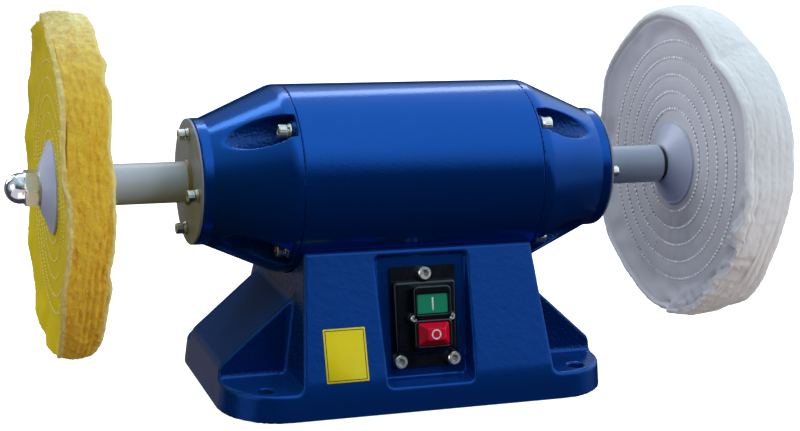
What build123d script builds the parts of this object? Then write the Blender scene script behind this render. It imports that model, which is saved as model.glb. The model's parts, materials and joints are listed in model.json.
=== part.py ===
from build123d import *

import os
from math import atan2, cos, degrees, radians, sin, sqrt, tan

# Double-ended bench polishing machine. Millimetres. X runs along the spindle, the switch faces -Y, Z is up,
# and the origin is at bench level under the middle of the motor.

# Motor shell
shaft_height = 157.5
shell_diameter = 140.0
shell_length = 185.0
shell_wall = 7.0
shell_edge_chamfer = 0.8
shell_boss_radius = 8.0
shell_boss_length = 25.0

# End bells
bell_length = 65.5
bell_lip_width = 6.0
bell_lip_step = 1.6
bell_step_length = 2.4
bell_collar_diameter = 93.0
bell_collar_width = 8.0
bell_collar_step = 1.4
bell_wall = 6.0
bell_spigot_depth = 4.0
bell_spigot_wall = 6.0
bell_end_wall = 16.0
bell_hub_wall = 7.0

# Tie screws that hold each bell, in pockets cut along the cone
tie_screw_count = 4
tie_screw_size = 6.0
tie_screw_inset = 8.5
tie_screw_grip = 15.0
tie_seat_thickness = 5.0
tie_pocket_floor = 2.0
tie_boss_radius = 7.0
tie_pocket_radius = 11.5
tie_pocket_wall = 4.0

# Deep-groove ball bearings
bearing_bore = 20.0
bearing_diameter = 47.0
bearing_width = 14.0
bearing_setback = 5.0
bearing_shoulder = 4.5
bearing_race_wall = 3.5
ball_diameter = 7.9
ball_count = 8
ball_play = 0.25
cage_thickness = 2.2
cage_width = 2.4
wave_washer_height = 1.9
wave_washer_sheet = 0.9
wave_washer_wall = 3.5
wave_count = 3

# Bearing plates and their screws
plate_thickness = 4.0
plate_edge_radius = 0.8
plate_spigot_wall = 3.2
plate_screw_inset = 11.0
plate_screw_count = 4
plate_screw_size = 5.0
plate_screw_turn = -4.5
plate_screw_grip = 12.0

# Shaft tubes
tube_diameter = 30.0
tube_bore = 23.0
tube_reach = 61.5
tube_weld_leg = 2.4
tube_end_chamfer = 0.5
tube_gap = 3.5

# Spindle and rotor
rotor_seat_diameter = 26.0
thread_diameter = 16.0
thread_reach_in_nut = 14.0
thread_chamfer = 1.5
rotor_diameter = 70.0
rotor_length = 80.0
rotor_end_ring_length = 9.0
rotor_end_ring_wall = 11.0
rotor_end_ring_step = 2.5
rotor_fin_count = 8
rotor_fin_width = 3.0
rotor_fin_length = 7.0
air_gap = 0.5

# Stator
stator_slot_count = 24
stator_slot_width = 5.0
stator_slot_depth = 14.0
stator_tooth_tip = 1.2
stator_slot_mouth = 2.4
winding_overhang = 22.0
winding_gap = 1.5
winding_head_radius = 4.0
winding_head_swell = 1.5

# Wheel flanges, dust seals, washers and dome nuts
flange_diameter = 67.0
flange_rim_width = 2.0
flange_nose_diameter = 30.0
flange_nose_chamfer = 0.8
flange_dish_depth = 2.5
flange_dish_wall = 7.0
inner_flange_length = 12.0
outer_flange_length = 9.0
seal_diameter = 26.5
seal_clearance = 0.4
seal_web = 1.2
nut_washer_diameter = 23.0
nut_washer_thickness = 1.4
nut_across_flats = 24.0
nut_hex_height = 9.5
nut_dome_diameter = 22.0
nut_dome_collar = 2.5

# Cloth wheels
wheel_diameter = 250.0
wheel_hub_width = 20.6
yellow_rim_width = 31.0
white_rim_width = 36.0
wheel_crown = 3.0
yellow_stitch_first_radius = 40.2
yellow_stitch_pitch = 12.4
white_stitch_first_radius = 41.8
white_stitch_pitch = 13.8
wheel_stitch_rings = 5
wheel_stitch_groove = 3.0
wheel_stitch_depth = 1.0
wheel_plies = 5

# Base casting
foot_length = 303.0
foot_depth = 193.0
foot_height = 20.0
foot_draft = 6.0
foot_corner_radius = 45.0
foot_edge_radius = 3.5
pedestal_foot_width = 196.4
pedestal_top_width = 178.4
saddle_drop = 43.8
saddle_land = 2.0
panel_blend_radius = 60.0
panel_edge_radius = 3.0
rib_thickness = 95.0
rib_end_height = 30.0
rib_slope = 41.5
rib_bend_radius = 8.0
rib_edge_radius = 3.0
casting_wall = 8.0
bench_hole_diameter = 12.0
bench_hole_end_inset = 29.5
bench_hole_side_inset = 17.5
wire_hole_diameter = 16.0
wire_hole_x = 30.0

# Switch recess in the front panel
recess_width_top = 72.0
recess_width_bottom = 67.0
recess_bottom_height = 19.3
recess_top_margin = 5.0
recess_depth = 11.0
recess_lean = 12.5
recess_corner_radius = 4.0
switch_height = 63.0
switch_offset_x = 3.6

# Switch bracket: a flanged sheet with a raised box
sheet_thickness = 2.0
bracket_shift_x = -2.7
bracket_width = 51.5
bracket_top = 38.0
bracket_bottom = 36.8
bracket_box_width = 49.0
bracket_box_height = 54.0
bracket_box_shift_y = 0.4
bracket_box_rise = 7.0
bracket_box_radius = 3.0
bracket_bend_radius = 2.8
bracket_corner_radius = 2.0
bracket_screw_size = 6.0
bracket_screw_top = 32.5
bracket_screw_bottom = 31.7
bracket_screw_half_spacing = 20.95
bracket_screw_length = 10.0

# Switch body, bezel and buttons
bezel_width = 29.5
bezel_height = 47.6
bezel_rise = 8.0
bezel_radius = 3.5
bezel_edge_radius = 0.8
bezel_ear_radius = 3.9
bezel_ear_rise = 4.0
switch_screw_size = 3.0
switch_screw_half_spacing = 14.9
switch_screw_length = 10.0
switch_body_width = 25.0
switch_body_height = 40.0
switch_body_depth = 30.0
switch_flange_width = 39.0
switch_flange_height = 44.0
switch_flange_thickness = 3.0
button_width = 24.0
start_button_height = 14.4
start_button_y = 10.2
start_button_sink = 1.2
stop_button_height = 16.6
stop_button_y = -11.8
stop_button_proud = 6.0
stop_button_face_width = 14.0
stop_button_face_height = 8.8
button_clearance = 0.35
button_base = 3.5
button_edge_radius = 0.6
button_stem_diameter = 5.0
button_stem_length = 12.0
start_button_travel = 2.5
stop_button_travel = 3.0
spring_wire = 0.6
spring_diameter = 8.6
spring_turns = 3

# Bottom plate
bottom_plate_thickness = 1.5
bottom_plate_seat = 5.0
bottom_plate_ledge = 6.0
bottom_plate_gap = 0.3
bottom_screw_size = 4.0
bottom_screw_inset = 8.0
bottom_screw_length = 12.0
bottom_boss_radius = 10.0
bottom_boss_height = 20.0

# Bolts that hold the shell down in the saddle
saddle_bolt_size = 8.0
saddle_bolt_spacing = 120.0
saddle_bolt_head_across_flats = 13.0
saddle_bolt_head_height = 5.3
saddle_bolt_washer_diameter = 16.0
saddle_bolt_washer_thickness = 1.6
saddle_spot_depth = 0.8

# Electrical parts in the pedestal
capacitor_diameter = 40.0
capacitor_length = 72.0
capacitor_x = -32.0
capacitor_y = 34.0
capacitor_edge_radius = 2.0
capacitor_tab_height = 7.0
capacitor_tab_width = 6.3
capacitor_tab_thickness = 1.0
clamp_band_width = 16.0
clamp_sheet = 1.2
clamp_foot_length = 13.0
clamp_screw_size = 4.0
terminal_x = 48.0
terminal_y = 22.0
terminal_length = 46.0
terminal_depth = 18.0
terminal_height = 15.0
terminal_ways = 4
terminal_well_width = 5.0

# Cable gland in the rear panel
gland_x = 60.0
gland_height = 52.0
gland_thread_diameter = 16.0
gland_across_flats = 20.0
gland_hex_height = 5.0
gland_nut_length = 14.0
gland_entry_diameter = 9.0
gland_lock_height = 4.0
gland_tail = 7.0
gland_nut_chamfer = 2.5

# Fits
running_gap = 0.05
seat_gap = 0.1
hole_play = 0.3
thread_end_gap = 1.0

# Washers and cap-screw heads follow the screw size
head_diameter_ratio = 1.65
head_chamfer_ratio = 0.1
socket_ratio = 0.83
socket_depth_ratio = 0.55
flat_washer_ratio = 2.0
spring_washer_ratio = 1.75
washer_thickness = 1.5
washer_split = 1.2

os.makedirs("parts", exist_ok=True)

sides = ((-1, "left"), (1, "right"))

# Stations along the spindle, measured out from the middle of the machine
seam_x = shell_length / 2
collar_x = seam_x + bell_length
bearing_outer_x = collar_x - bearing_setback
bearing_inner_x = bearing_outer_x - bearing_width
bearing_mid_x = (bearing_outer_x + bearing_inner_x) / 2
plate_face_x = collar_x + plate_thickness
tube_end_x = plate_face_x + tube_reach
shoulder_x = tube_end_x + tube_gap
wheel_inner_x = shoulder_x + inner_flange_length
wheel_outer_x = wheel_inner_x + wheel_hub_width
outer_flange_end_x = wheel_outer_x + outer_flange_length
nut_x = outer_flange_end_x + nut_washer_thickness
nut_dome_x = nut_x + nut_hex_height
tie_seat_x = seam_x + tie_seat_thickness

shell_radius = shell_diameter / 2
shell_bore_radius = shell_radius - shell_wall
tie_circle_radius = shell_radius - tie_screw_inset
plate_screw_circle_radius = bell_collar_diameter / 2 - plate_screw_inset
bearing_radius = bearing_diameter / 2
bearing_bore_radius = bearing_bore / 2
ball_circle_radius = (bearing_radius + bearing_bore_radius) / 2

shaft_axis = Axis((0, 0, shaft_height), (1, 0, 0))
shaft_plane = Plane(origin=(0, 0, shaft_height), x_dir=(1, 0, 0), z_dir=(0, -1, 0))


def end_plane(side: int, station: float) -> Plane:
    """Plane square to the spindle at a station, facing away from the middle of the machine."""
    return Plane(origin=(side * station, 0, shaft_height), x_dir=(0, 1, 0), z_dir=(side, 0, 0))


def cap_screw(size: float, length: float) -> Part:
    """Socket cap screw standing on the XY plane: the head above it and the shank below."""
    head_radius = size * head_diameter_ratio / 2
    with BuildPart() as screw:
        Cylinder(head_radius, size, align=(Align.CENTER, Align.CENTER, Align.MIN))
        chamfer(screw.edges().group_by(Axis.Z)[-1], size * head_chamfer_ratio)
        with BuildSketch(Plane.XY.offset(size)):
            RegularPolygon(size * socket_ratio / 2, 6, major_radius=False)
        extrude(amount=-size * socket_depth_ratio, mode=Mode.SUBTRACT)
        Cylinder(size / 2, length, align=(Align.CENTER, Align.CENTER, Align.MAX))
    return screw.part


def washer(size: float, outer_ratio: float, split: bool) -> Part:
    """Washer lying on the XY plane. A split one is a spring washer."""
    with BuildPart() as ring:
        with BuildSketch():
            Circle(size * outer_ratio / 2)
            Circle(size / 2 + hole_play, mode=Mode.SUBTRACT)
            if split:
                with Locations((size * outer_ratio / 2, 0)):
                    Rectangle(size * outer_ratio, washer_split, mode=Mode.SUBTRACT)
        extrude(amount=washer_thickness)
    return ring.part


# Base casting: outer lines of the foot, the pedestal and the ribs
foot_half_length = foot_length / 2
foot_half_depth = foot_depth / 2
bench_hole_spacing_x = foot_length - 2 * bench_hole_end_inset
bench_hole_spacing_y = foot_depth - 2 * bench_hole_side_inset
foot_shrink = foot_height * tan(radians(foot_draft))
foot_top_half_depth = foot_half_depth - foot_shrink
saddle_radius = shell_radius + seat_gap
saddle_top = shaft_height - saddle_drop
pedestal_top_half_depth = sqrt(saddle_radius**2 - saddle_drop**2) + saddle_land
panel_rise = saddle_top - foot_height
panel_run = foot_top_half_depth - pedestal_top_half_depth
panel_lean = degrees(atan2(panel_run, panel_rise))
pedestal_taper = (pedestal_foot_width - pedestal_top_width) / 2 / panel_rise
pedestal_floor_half_width = pedestal_foot_width / 2 + pedestal_taper * foot_height


def panel_y(height: float) -> float:
    """Distance of the leaning panel from the middle plane at a height above the foot."""
    return foot_top_half_depth - (height - foot_height) * tan(radians(panel_lean))


with BuildPart() as pedestal_block:
    with BuildSketch(Plane.YZ) as pedestal_side:
        with BuildLine():
            Polyline(
                (-foot_half_depth, 0),
                (-foot_top_half_depth, foot_height),
                (-pedestal_top_half_depth, saddle_top),
                (pedestal_top_half_depth, saddle_top),
                (foot_top_half_depth, foot_height),
                (foot_half_depth, 0),
                close=True,
            )
        make_face()
        fillet(pedestal_side.vertices().group_by(Axis.Y)[1], panel_blend_radius)
    extrude(amount=pedestal_foot_width, both=True)
    with BuildSketch(Plane.XZ):
        with BuildLine():
            Polyline(
                (-pedestal_floor_half_width, 0),
                (-pedestal_top_width / 2, saddle_top),
                (pedestal_top_width / 2, saddle_top),
                (pedestal_floor_half_width, 0),
                close=True,
            )
        make_face()
    extrude(amount=foot_depth, both=True, mode=Mode.INTERSECT)
    rising = [edge for edge in pedestal_block.edges() if abs(edge.tangent_at(0.5).Z) > 0.5]
    fillet(rising, panel_edge_radius)

rib_top_x = pedestal_top_width / 2 - casting_wall
rib_end_x = foot_half_length - rib_end_height * tan(radians(foot_draft))
rib_top = rib_end_height + (rib_end_x - rib_top_x) * tan(radians(rib_slope))

with BuildPart() as rib_block:
    with BuildSketch(Plane.XZ) as rib_side:
        with BuildLine():
            Polyline(
                (-foot_half_length, 0),
                (-rib_end_x, rib_end_height),
                (-rib_top_x, rib_top),
                (rib_top_x, rib_top),
                (rib_end_x, rib_end_height),
                (foot_half_length, 0),
                close=True,
            )
        make_face()
        fillet(rib_side.vertices().group_by(Axis.Y)[1], rib_bend_radius)
    extrude(amount=rib_thickness / 2, both=True)
    fillet(rib_block.faces().filter_by(Axis.Y).edges(), rib_edge_radius)

# Recess for the switch: straight walls in from the front, and a floor that leans less than the panel
recess_top = saddle_top - recess_top_margin
recess_floor_y = recess_depth - panel_y(switch_height)


def recess_block(margin: float) -> Part:
    """Space of the switch recess, grown by a margin on its floor, sides, top and bottom."""
    low = recess_bottom_height - margin
    high = recess_top + margin
    lean = tan(radians(recess_lean))
    with BuildPart() as block:
        with BuildSketch(Plane.XZ):
            with BuildLine():
                Polyline(
                    (-recess_width_bottom / 2 - margin, low),
                    (-recess_width_top / 2 - margin, high),
                    (recess_width_top / 2 + margin, high),
                    (recess_width_bottom / 2 + margin, low),
                    close=True,
                )
            make_face()
        extrude(amount=foot_depth, both=True)
        fillet(block.edges().filter_by(Axis.Y), recess_corner_radius)
        with BuildSketch(Plane.YZ):
            with BuildLine():
                Polyline(
                    (recess_floor_y + margin + (low - switch_height) * lean, low),
                    (recess_floor_y + margin + (high - switch_height) * lean, high),
                    (-foot_depth, high),
                    (-foot_depth, low),
                    close=True,
                )
            make_face()
        extrude(amount=foot_length, both=True, mode=Mode.INTERSECT)
    return block.part


# Frame of the switch: its origin is on the recess floor, Y runs up the floor and Z points out of it
switch_normal = Vector(0, -cos(radians(recess_lean)), sin(radians(recess_lean)))
switch_plane = Plane(
    origin=(switch_offset_x, recess_floor_y, switch_height), x_dir=(1, 0, 0), z_dir=tuple(switch_normal)
)

# Frame of the cable gland: on the outside of the rear panel, Z points out of it
gland_plane = Plane(
    origin=(gland_x, panel_y(gland_height), gland_height),
    x_dir=(-1, 0, 0),
    z_dir=(0, cos(radians(panel_lean)), sin(radians(panel_lean))),
)

# Inside of the pedestal, open below and closed by the saddle above
cavity_half_width = pedestal_foot_width / 2 - casting_wall
cavity_foot_half_depth = foot_top_half_depth - casting_wall / cos(radians(panel_lean))
cavity_top_half_depth = pedestal_top_half_depth - casting_wall / cos(radians(panel_lean))
bottom_screw_x = cavity_half_width - bottom_screw_inset
bottom_screw_y = cavity_foot_half_depth - bottom_screw_inset
bracket_screw_places = (
    (bracket_shift_x, bracket_screw_top),
    (bracket_shift_x - bracket_screw_half_spacing, -bracket_screw_bottom),
    (bracket_shift_x + bracket_screw_half_spacing, -bracket_screw_bottom),
)

with BuildPart() as pedestal_cavity:
    with BuildSketch(Plane.YZ):
        with BuildLine():
            Polyline(
                (-cavity_foot_half_depth, bottom_plate_seat),
                (-cavity_foot_half_depth, foot_height),
                (-cavity_top_half_depth, saddle_top),
                (cavity_top_half_depth, saddle_top),
                (cavity_foot_half_depth, foot_height),
                (cavity_foot_half_depth, bottom_plate_seat),
                close=True,
            )
        make_face()
    extrude(amount=pedestal_top_width / 2 - casting_wall, both=True)
    with Locations((0, 0, shaft_height)):
        Cylinder(saddle_radius + casting_wall, foot_length, rotation=(0, 90, 0), mode=Mode.SUBTRACT)
    add(recess_block(casting_wall), mode=Mode.SUBTRACT)
    with BuildSketch(Plane.XY.offset(bottom_plate_seat)):
        with GridLocations(2 * bottom_screw_x, 2 * bottom_screw_y, 2, 2):
            Circle(bottom_boss_radius)
    extrude(amount=bottom_boss_height, mode=Mode.SUBTRACT)

rib_cavity_inner_x = pedestal_floor_half_width
rib_cavity_outer_x = rib_end_x - casting_wall
rib_ceiling_drop = casting_wall / cos(radians(rib_slope))

with BuildPart() as rib_cavity:
    with BuildSketch(Plane.XZ):
        with BuildLine():
            Polyline(
                (rib_cavity_inner_x, 0),
                (rib_cavity_inner_x, rib_end_height - rib_ceiling_drop
                 + (rib_end_x - rib_cavity_inner_x) * tan(radians(rib_slope))),
                (rib_cavity_outer_x, rib_end_height - rib_ceiling_drop
                 + (rib_end_x - rib_cavity_outer_x) * tan(radians(rib_slope))),
                (rib_cavity_outer_x, 0),
                close=True,
            )
        make_face()
    extrude(amount=rib_thickness / 2 - casting_wall, both=True)
    mirror(about=Plane.YZ)

capacitor_radius = capacitor_diameter / 2
clamp_inner = capacitor_radius + seat_gap
clamp_outer = clamp_inner + clamp_sheet
clamp_screw_reach = clamp_outer + clamp_foot_length / 2
clamp_screw_places = (
    (capacitor_x, capacitor_y - clamp_screw_reach),
    (capacitor_x, capacitor_y + clamp_screw_reach),
)
bottom_plate_half_width = cavity_half_width + bottom_plate_ledge - bottom_plate_gap
bottom_plate_half_depth = cavity_foot_half_depth + bottom_plate_ledge - bottom_plate_gap
saddle_ceiling = shaft_height - saddle_radius - casting_wall

with BuildPart() as base_casting:
    with BuildSketch():
        RectangleRounded(foot_length, foot_depth, foot_corner_radius)
    extrude(amount=foot_height, taper=foot_draft)
    fillet(base_casting.faces().sort_by(Axis.Z)[-1].edges(), foot_edge_radius)
    add(pedestal_block.part)
    add(rib_block.part)
    with Locations((0, 0, shaft_height)):
        Cylinder(saddle_radius, foot_length, rotation=(0, 90, 0), mode=Mode.SUBTRACT)
    add(pedestal_cavity.part, mode=Mode.SUBTRACT)
    add(rib_cavity.part, mode=Mode.SUBTRACT)
    add(recess_block(0), mode=Mode.SUBTRACT)
    # Rebate for the bottom plate
    with BuildSketch():
        Rectangle(
            2 * (cavity_half_width + bottom_plate_ledge), 2 * (cavity_foot_half_depth + bottom_plate_ledge)
        )
    extrude(amount=bottom_plate_seat, mode=Mode.SUBTRACT)
    # Bench bolt holes in the ears
    with BuildSketch():
        with GridLocations(bench_hole_spacing_x, bench_hole_spacing_y, 2, 2):
            Circle(bench_hole_diameter / 2)
    extrude(amount=foot_height, mode=Mode.SUBTRACT)
    # Threaded holes for the bottom plate's screws
    with BuildSketch(Plane.XY.offset(bottom_plate_seat)):
        with GridLocations(2 * bottom_screw_x, 2 * bottom_screw_y, 2, 2):
            Circle(bottom_screw_size / 2 + running_gap)
    extrude(amount=bottom_screw_length, mode=Mode.SUBTRACT)
    # Bolt holes and spot faces under the saddle, and the way for the motor leads
    with BuildSketch(Plane.XY.offset(saddle_ceiling - casting_wall)):
        with GridLocations(saddle_bolt_spacing, 0, 2, 1):
            Circle(saddle_bolt_washer_diameter / 2 + hole_play)
    extrude(amount=casting_wall + saddle_spot_depth, mode=Mode.SUBTRACT)
    with BuildSketch(Plane.XY.offset(saddle_ceiling)):
        with GridLocations(saddle_bolt_spacing, 0, 2, 1):
            Circle(saddle_bolt_size / 2 + hole_play)
        with Locations((wire_hole_x, 0)):
            Circle(wire_hole_diameter / 2)
    extrude(amount=2 * casting_wall, mode=Mode.SUBTRACT)
    # Opening for the switch body and threaded holes for the bracket's screws
    with BuildSketch(switch_plane):
        Rectangle(switch_body_width + 2 * hole_play, switch_body_height + 2 * hole_play)
        with Locations(*bracket_screw_places):
            Circle(bracket_screw_size / 2 + running_gap)
    extrude(amount=-2 * casting_wall, mode=Mode.SUBTRACT)
    # Hole for the cable gland
    with BuildSketch(gland_plane):
        Circle(gland_thread_diameter / 2 + running_gap)
    extrude(amount=-2 * casting_wall, mode=Mode.SUBTRACT)
base_casting.part.label = "base_casting"
export_step(base_casting.part, "parts/base_casting.step")

with BuildPart() as bottom_plate:
    with BuildSketch(Plane.XY.offset(bottom_plate_seat - bottom_plate_thickness)):
        Rectangle(2 * bottom_plate_half_width, 2 * bottom_plate_half_depth)
        with GridLocations(2 * bottom_screw_x, 2 * bottom_screw_y, 2, 2):
            Circle(bottom_screw_size / 2 + hole_play, mode=Mode.SUBTRACT)
        with Locations(*clamp_screw_places):
            Circle(clamp_screw_size / 2 + running_gap, mode=Mode.SUBTRACT)
    extrude(amount=bottom_plate_thickness)
bottom_plate.part.label = "bottom_plate"
export_step(bottom_plate.part, "parts/bottom_plate.step")

bottom_plate_under = Plane(
    origin=(0, 0, bottom_plate_seat - bottom_plate_thickness), x_dir=(1, 0, 0), z_dir=(0, 0, -1)
)
bottom_head_height = bottom_screw_size / 2
bottom_head_chamfer = bottom_screw_size * head_chamfer_ratio

with BuildPart(bottom_plate_under) as bottom_plate_screws:
    with GridLocations(2 * bottom_screw_x, 2 * bottom_screw_y, 2, 2):
        Cylinder(bottom_screw_size, bottom_head_height, align=(Align.CENTER, Align.CENTER, Align.MIN))
    chamfer(bottom_plate_screws.edges().group_by(Axis.Z)[0], bottom_head_chamfer)
    with GridLocations(2 * bottom_screw_x, 2 * bottom_screw_y, 2, 2):
        Cylinder(
            bottom_screw_size / 2, bottom_screw_length, align=(Align.CENTER, Align.CENTER, Align.MAX)
        )
bottom_plate_screws.part.label = "bottom_plate_screws"
export_step(bottom_plate_screws.part, "parts/bottom_plate_screws.step")

# Motor shell with screw bosses inside each end
boss_start_x = seam_x - bell_spigot_depth - 2 * seat_gap

with BuildPart() as motor_shell:
    with BuildSketch(end_plane(1, -seam_x)):
        Circle(shell_radius)
        Circle(shell_bore_radius, mode=Mode.SUBTRACT)
    extrude(amount=shell_length)
    outer_rims = [
        edge
        for edge in motor_shell.edges().filter_by(GeomType.CIRCLE)
        if edge.radius > shell_radius - shell_wall / 2
    ]
    chamfer(outer_rims, shell_edge_chamfer)
    for side, side_name in sides:
        with BuildSketch(end_plane(side, boss_start_x)):
            with PolarLocations(tie_circle_radius, tie_screw_count, 360 / tie_screw_count / 2):
                Circle(shell_boss_radius)
            Circle(shell_radius - shell_wall / 2, mode=Mode.INTERSECT)
        extrude(amount=-shell_boss_length)
    for side, side_name in sides:
        with BuildSketch(end_plane(side, seam_x)):
            with PolarLocations(tie_circle_radius, tie_screw_count, 360 / tie_screw_count / 2):
                Circle(tie_screw_size / 2 + running_gap)
        extrude(amount=-tie_screw_grip - thread_end_gap, mode=Mode.SUBTRACT)
    with BuildSketch(Plane.XY.offset(shaft_height - shell_radius - shell_wall)):
        with GridLocations(saddle_bolt_spacing, 0, 2, 1):
            Circle(saddle_bolt_size / 2 + running_gap)
        with Locations((wire_hole_x, 0)):
            Circle(wire_hole_diameter / 2)
    extrude(amount=3 * shell_wall, mode=Mode.SUBTRACT)
motor_shell.part.label = "motor_shell"
export_step(motor_shell.part, "parts/motor_shell.step")

saddle_bolt_plane = Plane(
    origin=(0, 0, saddle_ceiling + saddle_spot_depth), x_dir=(1, 0, 0), z_dir=(0, 0, -1)
)
saddle_bolt_length = casting_wall - saddle_spot_depth + shell_wall

with BuildPart(saddle_bolt_plane) as saddle_bolts:
    with GridLocations(saddle_bolt_spacing, 0, 2, 1):
        Cylinder(
            saddle_bolt_washer_diameter / 2,
            saddle_bolt_washer_thickness,
            align=(Align.CENTER, Align.CENTER, Align.MIN),
        )
        Cylinder(saddle_bolt_size / 2, saddle_bolt_length, align=(Align.CENTER, Align.CENTER, Align.MAX))
    with BuildSketch(saddle_bolt_plane.offset(saddle_bolt_washer_thickness)):
        with GridLocations(saddle_bolt_spacing, 0, 2, 1):
            RegularPolygon(saddle_bolt_head_across_flats / 2, 6, major_radius=False)
    extrude(amount=saddle_bolt_head_height)
saddle_bolts.part.label = "saddle_bolts"
export_step(saddle_bolts.part, "parts/saddle_bolts.step")

# End bells: a turned cone with a bearing hub, hollowed, with a pocket for each tie screw
bell_lip_x = seam_x + bell_lip_width
bell_cone_x = bell_lip_x + bell_step_length
bell_cone_radius = shell_radius - bell_lip_step
bell_collar_radius = bell_collar_diameter / 2
bell_collar_inner_x = collar_x - bell_collar_width
bell_cone_end_radius = bell_collar_radius + bell_collar_step
bell_end_inner_x = collar_x - bell_end_wall
bell_hub_radius = bearing_radius + bell_hub_wall
bell_hub_inner_x = bearing_inner_x - bearing_shoulder
bell_shoulder_radius = bearing_radius - bearing_shoulder
bell_spigot_radius = shell_bore_radius - seat_gap
bell_cavity_radius = bell_spigot_radius - bell_spigot_wall
cone_fall = (bell_cone_radius - bell_cone_end_radius) / (bell_collar_inner_x - bell_cone_x)
bell_cavity_end_radius = bell_cone_radius - cone_fall * (bell_end_inner_x - bell_cone_x) - bell_wall

for side, side_name in sides:
    with BuildPart() as bell_cavity:
        with BuildSketch(shaft_plane):
            with BuildLine():
                Polyline(
                    (side * (seam_x - bell_spigot_depth), 0),
                    (side * (seam_x - bell_spigot_depth), bell_cavity_radius),
                    (side * bell_cone_x, bell_cavity_radius),
                    (side * bell_end_inner_x, bell_cavity_end_radius),
                    (side * bell_end_inner_x, bell_hub_radius),
                    (side * bell_hub_inner_x, bell_hub_radius),
                    (side * bell_hub_inner_x, 0),
                    close=True,
                )
            make_face()
        revolve(axis=shaft_axis)
        with BuildSketch(end_plane(side, seam_x - bell_spigot_depth)):
            with PolarLocations(tie_circle_radius, tie_screw_count, 360 / tie_screw_count / 2):
                Circle(tie_pocket_radius + tie_pocket_wall)
        extrude(amount=bell_length, mode=Mode.SUBTRACT)

    with BuildPart() as end_bell:
        with BuildSketch(shaft_plane):
            with BuildLine():
                Polyline(
                    (side * (seam_x - bell_spigot_depth), 0),
                    (side * (seam_x - bell_spigot_depth), bell_spigot_radius),
                    (side * seam_x, bell_spigot_radius),
                    (side * seam_x, shell_radius),
                    (side * bell_lip_x, shell_radius),
                    (side * bell_cone_x, bell_cone_radius),
                    (side * bell_collar_inner_x, bell_cone_end_radius),
                    (side * (bell_collar_inner_x + bell_collar_step), bell_collar_radius),
                    (side * collar_x, bell_collar_radius),
                    (side * collar_x, 0),
                    close=True,
                )
            make_face()
        revolve(axis=shaft_axis)
        add(bell_cavity.part, mode=Mode.SUBTRACT)
        # Bearing seat and the way for the spindle
        with BuildSketch(end_plane(side, collar_x)):
            Circle(bearing_radius)
        extrude(amount=-bearing_setback - bearing_width, mode=Mode.SUBTRACT)
        with BuildSketch(end_plane(side, collar_x)):
            Circle(bell_shoulder_radius)
        extrude(amount=-bell_length, mode=Mode.SUBTRACT)
        # Pockets, clearance holes and the plate's threaded holes
        with BuildSketch(end_plane(side, tie_seat_x)):
            with PolarLocations(tie_circle_radius, tie_screw_count, 360 / tie_screw_count / 2):
                Circle(tie_pocket_radius)
        extrude(amount=bell_length, mode=Mode.SUBTRACT)
        # Round the boss under each screw the pocket goes on almost to the seam
        with BuildSketch(end_plane(side, seam_x + tie_pocket_floor)):
            with PolarLocations(tie_circle_radius, tie_screw_count, 360 / tie_screw_count / 2):
                Circle(tie_pocket_radius)
                Circle(tie_boss_radius, mode=Mode.SUBTRACT)
        extrude(amount=tie_seat_thickness - tie_pocket_floor, mode=Mode.SUBTRACT)
        with BuildSketch(end_plane(side, tie_seat_x)):
            with PolarLocations(tie_circle_radius, tie_screw_count, 360 / tie_screw_count / 2):
                Circle(tie_screw_size / 2 + hole_play)
        extrude(amount=-tie_seat_thickness - bell_spigot_depth, mode=Mode.SUBTRACT)
        with BuildSketch(end_plane(side, collar_x)):
            with PolarLocations(plate_screw_circle_radius, plate_screw_count, plate_screw_turn):
                Circle(plate_screw_size / 2 + running_gap)
        extrude(amount=-plate_screw_grip, mode=Mode.SUBTRACT)
    end_bell.part.label = f"{side_name}_end_bell"
    export_step(end_bell.part, f"parts/{side_name}_end_bell.step")

    tie_screw_length = 2 * washer_thickness + tie_seat_thickness + tie_screw_grip
    with BuildPart(end_plane(side, tie_seat_x + 2 * washer_thickness)) as tie_screws:
        with PolarLocations(tie_circle_radius, tie_screw_count, 360 / tie_screw_count / 2):
            add(cap_screw(tie_screw_size, tie_screw_length))
    tie_screws.part.label = f"{side_name}_tie_screws"
    export_step(tie_screws.part, f"parts/{side_name}_tie_screws.step")

# Washers under the tie screws of both bells
with BuildPart() as tie_washers:
    for side, side_name in sides:
        with Locations(end_plane(side, tie_seat_x)):
            with PolarLocations(tie_circle_radius, tie_screw_count, 360 / tie_screw_count / 2):
                add(washer(tie_screw_size, flat_washer_ratio, False))
tie_washers.part.label = "tie_washers"
export_step(tie_washers.part, "parts/tie_washers.step")

with BuildPart() as tie_spring_washers:
    for side, side_name in sides:
        with Locations(end_plane(side, tie_seat_x + washer_thickness)):
            with PolarLocations(tie_circle_radius, tie_screw_count, 360 / tie_screw_count / 2):
                add(washer(tie_screw_size, spring_washer_ratio, True))
tie_spring_washers.part.label = "tie_spring_washers"
export_step(tie_spring_washers.part, "parts/tie_spring_washers.step")

# Bearing plates with the tubes that cover the spindle
tube_radius = tube_diameter / 2
plate_screw_length = 2 * washer_thickness + plate_thickness + plate_screw_grip - thread_end_gap

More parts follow.
